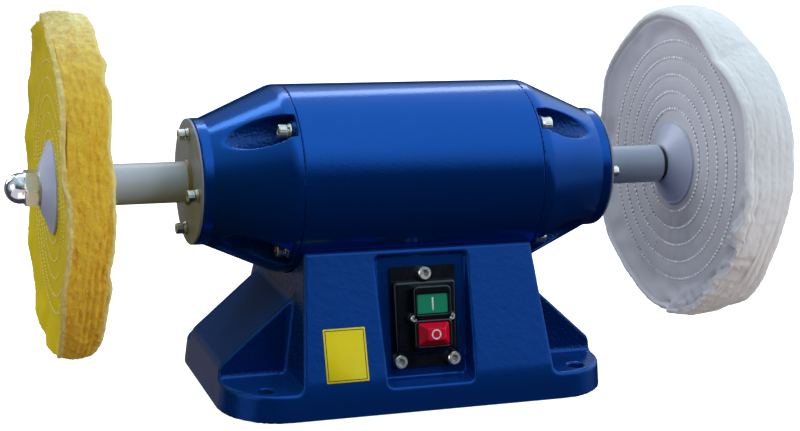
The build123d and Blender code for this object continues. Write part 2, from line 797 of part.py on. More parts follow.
for side, side_name in sides:
    # The right bearing floats against the wave washer, the left one is held by the plate alone
    spigot_play = wave_washer_height + seat_gap if side > 0 else seat_gap
    with BuildPart() as bearing_plate:
        with BuildSketch(end_plane(side, collar_x)):
            Circle(bell_collar_radius)
            Circle(tube_radius + running_gap, mode=Mode.SUBTRACT)
            with PolarLocations(plate_screw_circle_radius, plate_screw_count, plate_screw_turn):
                Circle(plate_screw_size / 2 + hole_play, mode=Mode.SUBTRACT)
        extrude(amount=plate_thickness)
        rims = [
            edge
            for edge in bearing_plate.edges().filter_by(GeomType.CIRCLE)
            if edge.radius > tube_diameter and abs(edge.center().X) > collar_x + plate_thickness / 2
        ]
        fillet(rims, plate_edge_radius)
        with BuildSketch(end_plane(side, collar_x)):
            Circle(bearing_radius - seat_gap)
            Circle(bearing_radius - seat_gap - plate_spigot_wall, mode=Mode.SUBTRACT)
        extrude(amount=spigot_play - bearing_setback)
    bearing_plate.part.label = f"{side_name}_bearing_plate"
    export_step(bearing_plate.part, f"parts/{side_name}_bearing_plate.step")

    with BuildPart() as shaft_tube:
        with BuildSketch(shaft_plane):
            with BuildLine():
                Polyline(
                    (side * collar_x, tube_bore / 2),
                    (side * collar_x, tube_radius),
                    (side * plate_face_x, tube_radius),
                    (side * plate_face_x, tube_radius + tube_weld_leg),
                    (side * (plate_face_x + tube_weld_leg), tube_radius),
                    (side * (tube_end_x - tube_end_chamfer), tube_radius),
                    (side * tube_end_x, tube_radius - tube_end_chamfer),
                    (side * tube_end_x, tube_bore / 2),
                    close=True,
                )
            make_face()
        revolve(axis=shaft_axis)
    shaft_tube.part.label = f"{side_name}_shaft_tube"
    export_step(shaft_tube.part, f"parts/{side_name}_shaft_tube.step")

    with BuildPart(end_plane(side, plate_face_x + 2 * washer_thickness)) as plate_screws:
        with PolarLocations(plate_screw_circle_radius, plate_screw_count, plate_screw_turn):
            add(cap_screw(plate_screw_size, plate_screw_length))
    plate_screws.part.label = f"{side_name}_plate_screws"
    export_step(plate_screws.part, f"parts/{side_name}_plate_screws.step")

with BuildPart() as plate_washers:
    for side, side_name in sides:
        with Locations(end_plane(side, plate_face_x)):
            with PolarLocations(plate_screw_circle_radius, plate_screw_count, plate_screw_turn):
                add(washer(plate_screw_size, flat_washer_ratio, False))
plate_washers.part.label = "plate_washers"
export_step(plate_washers.part, "parts/plate_washers.step")

with BuildPart() as plate_spring_washers:
    for side, side_name in sides:
        with Locations(end_plane(side, plate_face_x + washer_thickness)):
            with PolarLocations(plate_screw_circle_radius, plate_screw_count, plate_screw_turn):
                add(washer(plate_screw_size, spring_washer_ratio, True))
plate_spring_washers.part.label = "plate_spring_washers"
export_step(plate_spring_washers.part, "parts/plate_spring_washers.step")

# Stator: slotted core in the shell, with the windings in its slots and at both ends
stator_bore_radius = rotor_diameter / 2 + air_gap
slot_inner_radius = stator_bore_radius + stator_tooth_tip
slot_mid_radius = slot_inner_radius + stator_slot_depth / 2

with BuildPart() as stator_core:
    with BuildSketch(end_plane(1, -rotor_length / 2)):
        Circle(shell_bore_radius - running_gap)
        Circle(stator_bore_radius, mode=Mode.SUBTRACT)
        with PolarLocations(slot_mid_radius, stator_slot_count):
            Rectangle(stator_slot_depth, stator_slot_width, mode=Mode.SUBTRACT)
        with PolarLocations(stator_bore_radius, stator_slot_count):
            Rectangle(3 * stator_tooth_tip, stator_slot_mouth, mode=Mode.SUBTRACT)
    extrude(amount=rotor_length)
stator_core.part.label = "stator_core"
export_step(stator_core.part, "parts/stator_core.step")

winding_end_x = rotor_length / 2 + winding_overhang
winding_head_mid_x = winding_end_x - (winding_overhang - winding_gap) / 2

with BuildPart() as stator_windings:
    with BuildSketch(end_plane(1, -winding_end_x + winding_head_radius)):
        with PolarLocations(slot_mid_radius, stator_slot_count):
            Rectangle(stator_slot_depth - 2 * hole_play, stator_slot_width - 2 * hole_play)
    extrude(amount=2 * (winding_end_x - winding_head_radius))
    for side, side_name in sides:
        with BuildSketch(shaft_plane):
            with Locations((side * winding_head_mid_x, slot_mid_radius)):
                RectangleRounded(
                    winding_overhang - winding_gap,
                    stator_slot_depth + winding_head_swell,
                    winding_head_radius,
                )
        revolve(axis=shaft_axis)
stator_windings.part.label = "stator_windings"
export_step(stator_windings.part, "parts/stator_windings.step")

# Bearings
outer_race_radius = bearing_radius - bearing_race_wall
inner_race_radius = bearing_bore_radius + bearing_race_wall
ball_groove_radius = ball_diameter / 2 + ball_play

for side, side_name in sides:
    with BuildPart(end_plane(side, bearing_mid_x)) as bearing_outer_race:
        Cylinder(bearing_radius - running_gap, bearing_width)
        Cylinder(outer_race_radius, bearing_width, mode=Mode.SUBTRACT)
        Torus(ball_circle_radius, ball_groove_radius, mode=Mode.SUBTRACT)
    bearing_outer_race.part.label = f"{side_name}_bearing_outer_race"
    export_step(bearing_outer_race.part, f"parts/{side_name}_bearing_outer_race.step")

    with BuildPart(end_plane(side, bearing_mid_x)) as bearing_inner_race:
        Cylinder(inner_race_radius, bearing_width)
        Cylinder(bearing_bore_radius, bearing_width, mode=Mode.SUBTRACT)
        Torus(ball_circle_radius, ball_groove_radius, mode=Mode.SUBTRACT)
    bearing_inner_race.part.label = f"{side_name}_bearing_inner_race"
    export_step(bearing_inner_race.part, f"parts/{side_name}_bearing_inner_race.step")

    with BuildPart(end_plane(side, bearing_mid_x)) as bearing_balls:
        Cylinder(ball_circle_radius + cage_thickness / 2, cage_width)
        Cylinder(ball_circle_radius - cage_thickness / 2, cage_width, mode=Mode.SUBTRACT)
        with PolarLocations(ball_circle_radius, ball_count):
            Sphere(ball_diameter / 2)
    bearing_balls.part.label = f"{side_name}_bearing_balls"
    export_step(bearing_balls.part, f"parts/{side_name}_bearing_balls.step")

# Wave washer between the right bearing and its plate: a ring hollowed in turn from both faces
wave_outer_radius = bearing_radius - 2 * hole_play
wave_dip = wave_washer_height - wave_washer_sheet
wave_half_chord = (wave_outer_radius - wave_washer_wall / 2) * sin(radians(180 / wave_count / 2))
wave_cut_radius = (wave_half_chord**2 + wave_dip**2) / (2 * wave_dip)

with BuildPart(end_plane(1, bearing_outer_x)) as wave_washer:
    with BuildSketch(end_plane(1, bearing_outer_x)):
        Circle(wave_outer_radius)
        Circle(wave_outer_radius - wave_washer_wall, mode=Mode.SUBTRACT)
    extrude(amount=wave_washer_height)
    for first_angle, level in (
        (0, wave_washer_height + wave_cut_radius - wave_dip),
        (180 / wave_count, wave_dip - wave_cut_radius),
    ):
        with PolarLocations(0, wave_count, first_angle):
            with Locations((0, 0, level)):
                Cylinder(
                    wave_cut_radius,
                    bearing_diameter,
                    rotation=(0, 90, 0),
                    align=(Align.CENTER, Align.CENTER, Align.MIN),
                    mode=Mode.SUBTRACT,
                )
wave_washer.part.label = "wave_washer"
export_step(wave_washer.part, "parts/wave_washer.step")

# Spindle: rotor seat, bearing journals that run on through the tubes, and a thread at each end
journal_radius = bearing_bore_radius - running_gap
thread_radius = thread_diameter / 2
thread_end_x = nut_x + thread_reach_in_nut

with BuildPart() as spindle_shaft:
    with BuildSketch(shaft_plane):
        with BuildLine():
            half_outline = [
                (bearing_inner_x, rotor_seat_diameter / 2),
                (bearing_inner_x, journal_radius),
                (shoulder_x, journal_radius),
                (shoulder_x, thread_radius),
                (thread_end_x - thread_chamfer, thread_radius),
                (thread_end_x, thread_radius - thread_chamfer),
                (thread_end_x, 0),
            ]
            Polyline(*half_outline, *[(-x, r) for x, r in reversed(half_outline)], close=True)
        make_face()
    revolve(axis=shaft_axis)
spindle_shaft.part.label = "spindle_shaft"
export_step(spindle_shaft.part, "parts/spindle_shaft.step")

with BuildPart() as rotor_core:
    with BuildSketch(end_plane(1, -rotor_length / 2)):
        Circle(rotor_diameter / 2)
        Circle(rotor_seat_diameter / 2 + running_gap, mode=Mode.SUBTRACT)
    extrude(amount=rotor_length)
rotor_core.part.label = "rotor_core"
export_step(rotor_core.part, "parts/rotor_core.step")

end_ring_radius = rotor_diameter / 2 - rotor_end_ring_step

with BuildPart() as rotor_end_rings:
    for side, side_name in sides:
        with BuildSketch(end_plane(side, rotor_length / 2)):
            Circle(end_ring_radius)
            Circle(end_ring_radius - rotor_end_ring_wall, mode=Mode.SUBTRACT)
        extrude(amount=rotor_end_ring_length)
        with BuildSketch(end_plane(side, rotor_length / 2)):
            with PolarLocations(end_ring_radius - rotor_end_ring_wall / 2, rotor_fin_count):
                Rectangle(rotor_end_ring_wall - rotor_fin_width, rotor_fin_width)
        extrude(amount=rotor_end_ring_length + rotor_fin_length)
rotor_end_rings.part.label = "rotor_end_rings"
export_step(rotor_end_rings.part, "parts/rotor_end_rings.step")

# Dust seals: a rubber ring with an open lip in each gap between tube and flange
seal_radius = seal_diameter / 2
seal_lip_x = tube_end_x + seal_clearance

with BuildPart() as dust_seals:
    for side, side_name in sides:
        with BuildSketch(shaft_plane):
            with BuildLine():
                Polyline(
                    (side * shoulder_x, journal_radius + running_gap),
                    (side * shoulder_x, seal_radius),
                    (side * seal_lip_x, seal_radius),
                    (side * (shoulder_x - seal_web), (journal_radius + seal_radius) / 2),
                    (side * seal_lip_x, journal_radius + running_gap),
                    close=True,
                )
            make_face()
        revolve(axis=shaft_axis)
dust_seals.part.label = "dust_seals"
export_step(dust_seals.part, "parts/dust_seals.step")

# Wheel flanges: dished cones that clamp the cloth at their rims
flange_radius = flange_diameter / 2
flange_nose = flange_nose_diameter / 2
flange_bore = thread_radius + running_gap
dish_radius = flange_radius - flange_dish_wall


def flange_outline(face: float, nose: float) -> list:
    """Half section of a flange, from its clamping face to its nose, as station and radius pairs."""
    way = 1 if nose > face else -1
    return [
        (face + way * flange_dish_depth, flange_bore),
        (face + way * flange_dish_depth, dish_radius),
        (face, dish_radius),
        (face, flange_radius),
        (face + way * flange_rim_width, flange_radius),
        (nose - way * flange_nose_chamfer, flange_nose),
        (nose, flange_nose - flange_nose_chamfer),
        (nose, flange_bore),
    ]


for side, side_name in sides:
    with BuildPart() as inner_flange:
        with BuildSketch(shaft_plane):
            with BuildLine():
                Polyline(*[(side * x, r) for x, r in flange_outline(wheel_inner_x, shoulder_x)], close=True)
            make_face()
        revolve(axis=shaft_axis)
    inner_flange.part.label = f"{side_name}_inner_flange"
    export_step(inner_flange.part, f"parts/{side_name}_inner_flange.step")

    with BuildPart() as outer_flange:
        with BuildSketch(shaft_plane):
            with BuildLine():
                Polyline(
                    *[(side * x, r) for x, r in flange_outline(wheel_outer_x, outer_flange_end_x)],
                    close=True,
                )
            make_face()
        revolve(axis=shaft_axis)
    outer_flange.part.label = f"{side_name}_outer_flange"
    export_step(outer_flange.part, f"parts/{side_name}_outer_flange.step")

with BuildPart() as nut_washers:
    for side, side_name in sides:
        with BuildSketch(end_plane(side, outer_flange_end_x)):
            Circle(nut_washer_diameter / 2)
            Circle(flange_bore, mode=Mode.SUBTRACT)
        extrude(amount=nut_washer_thickness)
nut_washers.part.label = "nut_washers"
export_step(nut_washers.part, "parts/nut_washers.step")

# Dome nuts: a hexagon with turned chamfers and a closed dome
nut_flat_radius = nut_across_flats / 2
nut_corner_radius = nut_flat_radius / cos(radians(30))
nut_chamfer = (nut_corner_radius - nut_flat_radius) * tan(radians(30))
dome_radius = nut_dome_diameter / 2
dome_start_x = nut_dome_x + nut_dome_collar

for side, side_name in sides:
    with BuildPart() as dome_nut:
        with BuildSketch(end_plane(side, nut_x)):
            RegularPolygon(nut_flat_radius, 6, major_radius=False)
        extrude(amount=nut_hex_height)
        with BuildSketch(shaft_plane):
            with BuildLine():
                Polyline(
                    (side * nut_x, 0),
                    (side * nut_x, nut_flat_radius),
                    (side * (nut_x + nut_chamfer), nut_corner_radius),
                    (side * (nut_dome_x - nut_chamfer), nut_corner_radius),
                    (side * nut_dome_x, nut_flat_radius),
                    (side * nut_dome_x, 0),
                    close=True,
                )
            make_face()
        revolve(axis=shaft_axis, mode=Mode.INTERSECT)
        with BuildSketch(shaft_plane):
            with BuildLine():
                Polyline(
                    (side * dome_start_x, dome_radius),
                    (side * (nut_dome_x - nut_chamfer), dome_radius),
                    (side * (nut_dome_x - nut_chamfer), 0),
                    (side * (dome_start_x + dome_radius), 0),
                )
                RadiusArc(
                    (side * dome_start_x, dome_radius),
                    (side * (dome_start_x + dome_radius), 0),
                    side * dome_radius,
                )
            make_face()
        revolve(axis=shaft_axis)
        with BuildSketch(end_plane(side, nut_x)):
            Circle(flange_bore)
        extrude(amount=thread_reach_in_nut + thread_end_gap, mode=Mode.SUBTRACT)
    dome_nut.part.label = f"{side_name}_dome_nut"
    export_step(dome_nut.part, f"parts/{side_name}_dome_nut.step")

# Cloth wheels: as thick as the hub where rings are sewn, flared beyond them, with plies at the rim
wheel_radius = wheel_diameter / 2
wheel_mid_x = (wheel_inner_x + wheel_outer_x) / 2
wheel_edge_radius = wheel_radius - wheel_crown


def wheel_face(rim_width: float, first_ring: float, pitch: float) -> list:
    """Half-thickness of a wheel against its radius, from the bore to the edge of the rim."""
    hub_half = wheel_hub_width / 2
    outline = [(flange_bore + seat_gap, hub_half)]
    for ring in range(wheel_stitch_rings):
        radius = first_ring + ring * pitch
        for offset, depth in ((-0.5, 0), (0, wheel_stitch_depth), (0.5, 0)):
            outline.append((radius + offset * wheel_stitch_groove, hub_half - depth))
    outline.append((wheel_edge_radius, rim_width / 2))
    return outline


wheels = (
    (-1, "yellow_wheel", yellow_rim_width, yellow_stitch_first_radius, yellow_stitch_pitch),
    (1, "white_wheel", white_rim_width, white_stitch_first_radius, white_stitch_pitch),
)

for side, wheel_name, rim_width, first_ring, pitch in wheels:
    face = wheel_face(rim_width, first_ring, pitch)
    ply_width = rim_width / wheel_plies
    with BuildPart() as wheel:
        with BuildSketch(shaft_plane):
            with BuildLine():
                outer_face = [(side * (wheel_mid_x + half), radius) for radius, half in face]
                inner_face = [(side * (wheel_mid_x - half), radius) for radius, half in face]
                Polyline(*outer_face)
                Polyline(*inner_face)
                Line(outer_face[0], inner_face[0])
                # Each ply swells a little, and the middle one stands highest
                for ply in range(wheel_plies):
                    start = ply * ply_width - rim_width / 2
                    top = wheel_radius - wheel_crown * (2 * (start + ply_width / 2) / rim_width) ** 2
                    ThreePointArc(
                        (side * (wheel_mid_x + start), wheel_edge_radius),
                        (side * (wheel_mid_x + start + ply_width / 2), top),
                        (side * (wheel_mid_x + start + ply_width), wheel_edge_radius),
                    )
            make_face()
        revolve(axis=shaft_axis)
    wheel.part.label = wheel_name
    export_step(wheel.part, f"parts/{wheel_name}.step")

# Switch: bracket on the recess floor, body behind its box, bezel in front, and two buttons
box_face = bracket_box_rise
body_face = bracket_box_rise - sheet_thickness
bezel_face = bracket_box_rise + bezel_rise
button_under = body_face + button_base
window_width = button_width + 2 * button_clearance
window_height = stop_button_height / 2 - stop_button_y + start_button_height / 2 + start_button_y
window_y = (start_button_height / 2 + start_button_y - stop_button_height / 2 + stop_button_y) / 2
switch_screw_places = ((-switch_screw_half_spacing, 0), (switch_screw_half_spacing, 0))
switch_out = Axis((switch_offset_x, recess_floor_y, switch_height), tuple(switch_normal))

with BuildPart() as switch_bracket:
    with BuildSketch(switch_plane):
        with Locations((bracket_shift_x, (bracket_top - bracket_bottom) / 2)):
            RectangleRounded(bracket_width, bracket_top + bracket_bottom, bracket_corner_radius)
    extrude(amount=sheet_thickness)
    with BuildSketch(switch_plane):
        with Locations((bracket_shift_x, bracket_box_shift_y)):
            RectangleRounded(bracket_box_width, bracket_box_height, bracket_box_radius)
    extrude(amount=bracket_box_rise)
    fillet(switch_bracket.faces().sort_by(switch_out)[-1].edges(), bracket_bend_radius)
    with BuildSketch(switch_plane):
        with Locations((bracket_shift_x, bracket_box_shift_y)):
            RectangleRounded(
                bracket_box_width - 2 * sheet_thickness,
                bracket_box_height - 2 * sheet_thickness,
                bracket_box_radius - sheet_thickness / 2,
            )
    extrude(amount=body_face, mode=Mode.SUBTRACT)
    with BuildSketch(switch_plane):
        with Locations((0, window_y)):
            Rectangle(window_width, window_height + 2 * button_clearance)
        with Locations(*switch_screw_places):
            Circle(switch_screw_size / 2 + hole_play)
        with Locations(*bracket_screw_places):
            Circle(bracket_screw_size / 2 + hole_play)
    extrude(amount=bracket_box_rise, mode=Mode.SUBTRACT)
switch_bracket.part.label = "switch_bracket"
export_step(switch_bracket.part, "parts/switch_bracket.step")

with BuildPart(switch_plane.offset(sheet_thickness)) as bracket_screws:
    with Locations(*bracket_screw_places):
        add(cap_screw(bracket_screw_size, bracket_screw_length))
bracket_screws.part.label = "bracket_screws"
export_step(bracket_screws.part, "parts/bracket_screws.step")

stem_places = ((0, start_button_y), (0, stop_button_y))
stem_bore_depth = button_stem_length - button_base + stop_button_travel + thread_end_gap

with BuildPart() as switch_body:
    with BuildSketch(switch_plane.offset(body_face)):
        Rectangle(switch_flange_width, switch_flange_height)
    extrude(amount=-switch_flange_thickness)
    with BuildSketch(switch_plane.offset(body_face)):
        Rectangle(switch_body_width, switch_body_height)
    extrude(amount=-body_face - switch_body_depth)
    with BuildSketch(switch_plane.offset(body_face)):
        with Locations(*stem_places):
            Circle(button_stem_diameter / 2 + button_clearance)
    extrude(amount=-stem_bore_depth, mode=Mode.SUBTRACT)
    with BuildSketch(switch_plane.offset(body_face)):
        with Locations(*switch_screw_places):
            Circle(switch_screw_size / 2 + running_gap)
    extrude(amount=-switch_flange_thickness, mode=Mode.SUBTRACT)
switch_body.part.label = "switch_body"
export_step(switch_body.part, "parts/switch_body.step")

with BuildPart() as switch_bezel:
    with BuildSketch(switch_plane.offset(box_face)):
        RectangleRounded(bezel_width, bezel_height, bezel_radius)
    extrude(amount=bezel_rise)
    fillet(switch_bezel.faces().sort_by(switch_out)[-1].edges(), bezel_edge_radius)
    with BuildSketch(switch_plane.offset(box_face)):
        with Locations(*switch_screw_places):
            Circle(bezel_ear_radius)
    extrude(amount=bezel_ear_rise)
    with BuildSketch(switch_plane.offset(box_face + bezel_ear_rise)):
        with Locations(*switch_screw_places):
            Circle(switch_screw_size * head_diameter_ratio / 2 + hole_play)
    extrude(amount=bezel_rise, mode=Mode.SUBTRACT)
    with BuildSketch(switch_plane.offset(box_face)):
        with Locations((0, start_button_y)):
            Rectangle(button_width + 2 * button_clearance, start_button_height + 2 * button_clearance)
        with Locations((0, stop_button_y)):
            Rectangle(button_width + 2 * button_clearance, stop_button_height + 2 * button_clearance)
        with Locations(*switch_screw_places):
            Circle(switch_screw_size / 2 + hole_play)
    extrude(amount=bezel_rise, mode=Mode.SUBTRACT)
switch_bezel.part.label = "switch_bezel"
export_step(switch_bezel.part, "parts/switch_bezel.step")

with BuildPart(switch_plane.offset(box_face + bezel_ear_rise)) as switch_screws:
    with Locations(*switch_screw_places):
        add(cap_screw(switch_screw_size, switch_screw_length))
switch_screws.part.label = "switch_screws"
export_step(switch_screws.part, "parts/switch_screws.step")

with BuildPart() as start_button:
    with BuildSketch(switch_plane.offset(button_under)):
        with Locations((0, start_button_y)):
            Rectangle(button_width, start_button_height)
    extrude(amount=bezel_face - start_button_sink - button_under)
    fillet(start_button.faces().sort_by(switch_out)[-1].edges(), button_edge_radius)
    with BuildSketch(switch_plane.offset(button_under)):
        with Locations((0, start_button_y)):
            Circle(button_stem_diameter / 2)
    extrude(amount=-button_stem_length)
start_button.part.label = "start_button"
export_step(start_button.part, "parts/start_button.step")

with BuildPart() as stop_button:
    with BuildSketch(switch_plane.offset(button_under)):
        with Locations((0, stop_button_y)):
            Rectangle(button_width, stop_button_height)
    extrude(amount=bezel_face - button_under)
    # Bevelled head that stands out of the bezel
    with BuildSketch(switch_plane.offset(bezel_face)):
        with Locations((0, stop_button_y)):
            Rectangle(button_width, stop_button_height)
    with BuildSketch(switch_plane.offset(bezel_face + stop_button_proud)):
        with Locations((0, stop_button_y)):
            Rectangle(stop_button_face_width, stop_button_face_height)
    loft(ruled=True)
    with BuildSketch(switch_plane.offset(button_under)):
        with Locations((0, stop_button_y)):
            Circle(button_stem_diameter / 2)
    extrude(amount=-button_stem_length)
stop_button.part.label = "stop_button"
export_step(stop_button.part, "parts/stop_button.step")

# Return springs round the button stems
spring_radius = (spring_diameter - spring_wire) / 2
spring_height = button_base - spring_wire - 2 * seat_gap
spring_seat = body_face + spring_wire / 2 + seat_gap

springs = (("start_button_spring", start_button_y), ("stop_button_spring", stop_button_y))

for spring_name, spring_y in springs:
    spring_start = switch_plane.from_local_coords((0, spring_y, spring_seat))
    with BuildPart() as button_spring:
        with BuildLine() as coil:
            Helix(
                spring_height / spring_turns,
                spring_height,
                spring_radius,
                center=spring_start,
                direction=tuple(switch_normal),
            )
        with BuildSketch(Plane(origin=coil.line @ 0, z_dir=coil.line % 0)):
            Circle(spring_wire / 2)
        sweep(path=coil.line, is_frenet=True)
    button_spring.part.label = spring_name
    export_step(button_spring.part, f"parts/{spring_name}.step")

# Run capacitor on the bottom plate, under its clamp
capacitor_z = bottom_plate_seat + capacitor_radius + seat_gap
capacitor_plane = Plane(
    origin=(capacitor_x, capacitor_y, capacitor_z), x_dir=(0, 1, 0), z_dir=(1, 0, 0)
)

with BuildPart(capacitor_plane) as run_capacitor:
    Cylinder(capacitor_radius, capacitor_length)
    fillet(run_capacitor.edges().filter_by(GeomType.CIRCLE), capacitor_edge_radius)
    with BuildSketch(capacitor_plane.offset(capacitor_length / 2)):
        with GridLocations(capacitor_radius, 0, 2, 1):
            Rectangle(capacitor_tab_thickness, capacitor_tab_width)
    extrude(amount=capacitor_tab_height)
run_capacitor.part.label = "run_capacitor"
export_step(run_capacitor.part, "parts/run_capacitor.step")


with BuildPart() as capacitor_clamp:
    with BuildSketch(capacitor_plane):
        Circle(clamp_outer)
        with Locations((0, -clamp_inner / 2)):
            Rectangle(2 * clamp_outer, clamp_inner)
        with Locations((0, clamp_sheet / 2 - clamp_inner)):
            Rectangle(2 * (clamp_outer + clamp_foot_length), clamp_sheet)
        Circle(clamp_inner, mode=Mode.SUBTRACT)
        with Locations((0, -clamp_outer / 2)):
            Rectangle(2 * clamp_inner, clamp_outer, mode=Mode.SUBTRACT)
        with Locations((0, -clamp_inner - clamp_outer / 2)):
            Rectangle(4 * clamp_outer, clamp_outer, mode=Mode.SUBTRACT)
    extrude(amount=clamp_band_width / 2, both=True)
    with BuildSketch(Plane.XY.offset(bottom_plate_seat)):
        with Locations(*clamp_screw_places):
            Circle(clamp_screw_size / 2 + hole_play)
    extrude(amount=2 * clamp_sheet, mode=Mode.SUBTRACT)
capacitor_clamp.part.label = "capacitor_clamp"
export_step(capacitor_clamp.part, "parts/capacitor_clamp.step")

clamp_screw_length = clamp_sheet + bottom_plate_thickness + thread_end_gap

with BuildPart(Plane.XY.offset(bottom_plate_seat + clamp_sheet)) as clamp_screws:
    with Locations(*clamp_screw_places):
        Cylinder(clamp_screw_size, clamp_screw_size / 2, align=(Align.CENTER, Align.CENTER, Align.MIN))
        Cylinder(clamp_screw_size / 2, clamp_screw_length, align=(Align.CENTER, Align.CENTER, Align.MAX))
clamp_screws.part.label = "clamp_screws"
export_step(clamp_screws.part, "parts/clamp_screws.step")

with BuildPart(Plane.XY.offset(bottom_plate_seat)) as terminal_block:
    with Locations((terminal_x, terminal_y, 0)):
        Box(
            terminal_length,
            terminal_depth,
            terminal_height,
            align=(Align.CENTER, Align.CENTER, Align.MIN),
        )
    with BuildSketch(Plane.XY.offset(bottom_plate_seat + terminal_height)):
        with Locations((terminal_x, terminal_y)):
            with GridLocations(terminal_length / terminal_ways, terminal_depth / 2, terminal_ways, 2):
                Rectangle(terminal_well_width, terminal_well_width)
    extrude(amount=-terminal_height / 2, mode=Mode.SUBTRACT)
terminal_block.part.label = "terminal_block"
export_step(terminal_block.part, "parts/terminal_block.step")

# Cable gland: body through the rear panel, locknut inside, domed nut and rubber seal outside
gland_thread_radius = gland_thread_diameter / 2
gland_flat_radius = gland_across_flats / 2
gland_entry_radius = gland_entry_diameter / 2
gland_thread_length = gland_nut_length / 2

with BuildPart() as cable_gland:
    with BuildSketch(gland_plane):
        RegularPolygon(gland_flat_radius, 6, major_radius=False)
    extrude(amount=gland_hex_height)
    with BuildSketch(gland_plane.offset(gland_hex_height + gland_thread_length)):
        Circle(gland_thread_radius)
    extrude(amount=-gland_hex_height - gland_thread_length - casting_wall - gland_tail)
    with BuildSketch(gland_plane.offset(gland_hex_height + gland_thread_length)):
        Circle(gland_entry_radius)
    extrude(amount=-gland_hex_height - gland_thread_length - casting_wall - gland_tail, mode=Mode.SUBTRACT)
cable_gland.part.label = "cable_gland"
export_step(cable_gland.part, "parts/cable_gland.step")

with BuildPart() as gland_nut:
    with BuildSketch(gland_plane.offset(gland_hex_height)):
        RegularPolygon(gland_flat_radius, 6, major_radius=False)
    extrude(amount=gland_nut_length)
    gland_mouth = gland_nut.faces().sort_by(Axis(gland_plane.origin, gland_plane.z_dir))[-1]
    chamfer(gland_mouth.edges(), gland_nut_chamfer)
    with BuildSketch(gland_plane.offset(gland_hex_height)):
        Circle(gland_thread_radius + running_gap)
    extrude(amount=gland_thread_length + seat_gap, mode=Mode.SUBTRACT)
    with BuildSketch(gland_plane.offset(gland_hex_height)):
        Circle(gland_entry_radius)
    extrude(amount=gland_nut_length, mode=Mode.SUBTRACT)
gland_nut.part.label = "gland_nut"
export_step(gland_nut.part, "parts/gland_nut.step")

with BuildPart() as gland_seal:
    with BuildSketch(gland_plane.offset(gland_hex_height)):
        Circle(gland_entry_radius - running_gap)
    extrude(amount=gland_nut_length)
gland_seal.part.label = "gland_seal"
export_step(gland_seal.part, "parts/gland_seal.step")

with BuildPart() as gland_locknut:
    with BuildSketch(gland_plane.offset(-casting_wall)):
        RegularPolygon(gland_flat_radius, 6, major_radius=False)
        Circle(gland_thread_radius + running_gap, mode=Mode.SUBTRACT)
    extrude(amount=-gland_lock_height)
gland_locknut.part.label = "gland_locknut"
export_step(gland_locknut.part, "parts/gland_locknut.step")
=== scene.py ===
"""Bench polishing machine: fine shapes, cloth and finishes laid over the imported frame.

Sizes in the classes are millimetres in the machine's own frame: X along the spindle, -Y towards the operator,
Z up, origin on the bench under the motor. Meshes are written in metres.
"""

import json
import logging
import math
from dataclasses import dataclass
from enum import Enum
from functools import cache
from typing import Callable

import bpy
import numpy as np
from mathutils import Matrix, Vector

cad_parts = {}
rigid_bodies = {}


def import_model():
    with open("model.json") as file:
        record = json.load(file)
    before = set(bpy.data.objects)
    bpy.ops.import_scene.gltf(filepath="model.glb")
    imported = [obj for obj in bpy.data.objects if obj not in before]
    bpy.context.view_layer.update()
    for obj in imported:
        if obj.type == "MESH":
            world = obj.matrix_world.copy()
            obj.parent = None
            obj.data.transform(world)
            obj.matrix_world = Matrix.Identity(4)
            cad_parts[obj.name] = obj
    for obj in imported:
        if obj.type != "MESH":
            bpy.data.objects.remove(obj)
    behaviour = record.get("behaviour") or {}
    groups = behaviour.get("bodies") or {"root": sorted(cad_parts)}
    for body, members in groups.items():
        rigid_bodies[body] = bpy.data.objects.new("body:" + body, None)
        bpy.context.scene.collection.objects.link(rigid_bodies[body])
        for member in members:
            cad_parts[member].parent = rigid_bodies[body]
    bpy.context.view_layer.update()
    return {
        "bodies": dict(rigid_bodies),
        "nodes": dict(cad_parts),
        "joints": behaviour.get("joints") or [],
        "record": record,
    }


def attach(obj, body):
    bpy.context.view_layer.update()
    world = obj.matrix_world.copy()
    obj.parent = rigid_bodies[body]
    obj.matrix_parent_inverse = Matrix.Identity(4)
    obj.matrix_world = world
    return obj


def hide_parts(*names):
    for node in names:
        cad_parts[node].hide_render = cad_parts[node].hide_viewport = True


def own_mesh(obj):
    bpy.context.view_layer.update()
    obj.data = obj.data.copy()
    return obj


MM = 0.001
SHAFT_HEIGHT = 157.5
COAT_ROUGHNESS = 0.08
LOG = logging.getLogger("polisher")
Array = np.ndarray
Object = bpy.types.Object
Tree = bpy.types.NodeTree
Node = bpy.types.Node
Socket = bpy.types.NodeSocket
Field = Callable[[Array, Array, Array], Array]
Spread = Callable[[Array, Array], Array]
Size2 = tuple[float, float]
Size3 = tuple[float, float, float]
Size4 = tuple[float, float, float, float]
Table = tuple[Size2, ...]


class Side(Enum):
    """The two ends of the spindle, with the sign of X."""

    LEFT = -1
    RIGHT = 1

    @property
    def word(self) -> str:
        """Name of the end in node names."""
        return self.name.lower()


def linear(colour: str) -> Size4:
    """Turn an sRGB colour, a hash sign and six hex digits, into linear RGBA."""
    values = [int(colour[i:i + 2], 16) / 255 for i in (1, 3, 5)]
    return tuple(v / 12.92 if v <= 0.04045 else ((v + 0.055) / 1.055) ** 2.4 for v in values) + (1.0,)


def add(tree: Tree, kind: str, inputs: dict | None = None, **settings: object) -> Node:
    """Add a node with its settings, values and links.

    Args:
        tree: node tree that takes the node.
        kind: Blender's type name of the node.
        inputs: socket name, identifier or index to a value, an output socket, or a node for its first output.
        settings: attributes of the node.

    Returns:
        The new node.
    """
    node = tree.nodes.new(kind)
    for name, value in settings.items():
        setattr(node, name, value)
    for key, value in (inputs or {}).items():
        socket = node.inputs[key] if isinstance(key, int) else next(
            s for label in ("identifier", "name") for s in node.inputs if getattr(s, label) == key)
        source = value.outputs[0] if isinstance(value, Node) else value
        if isinstance(source, Socket):
            tree.links.new(source, socket)
        else:
            socket.default_value = source
    return node


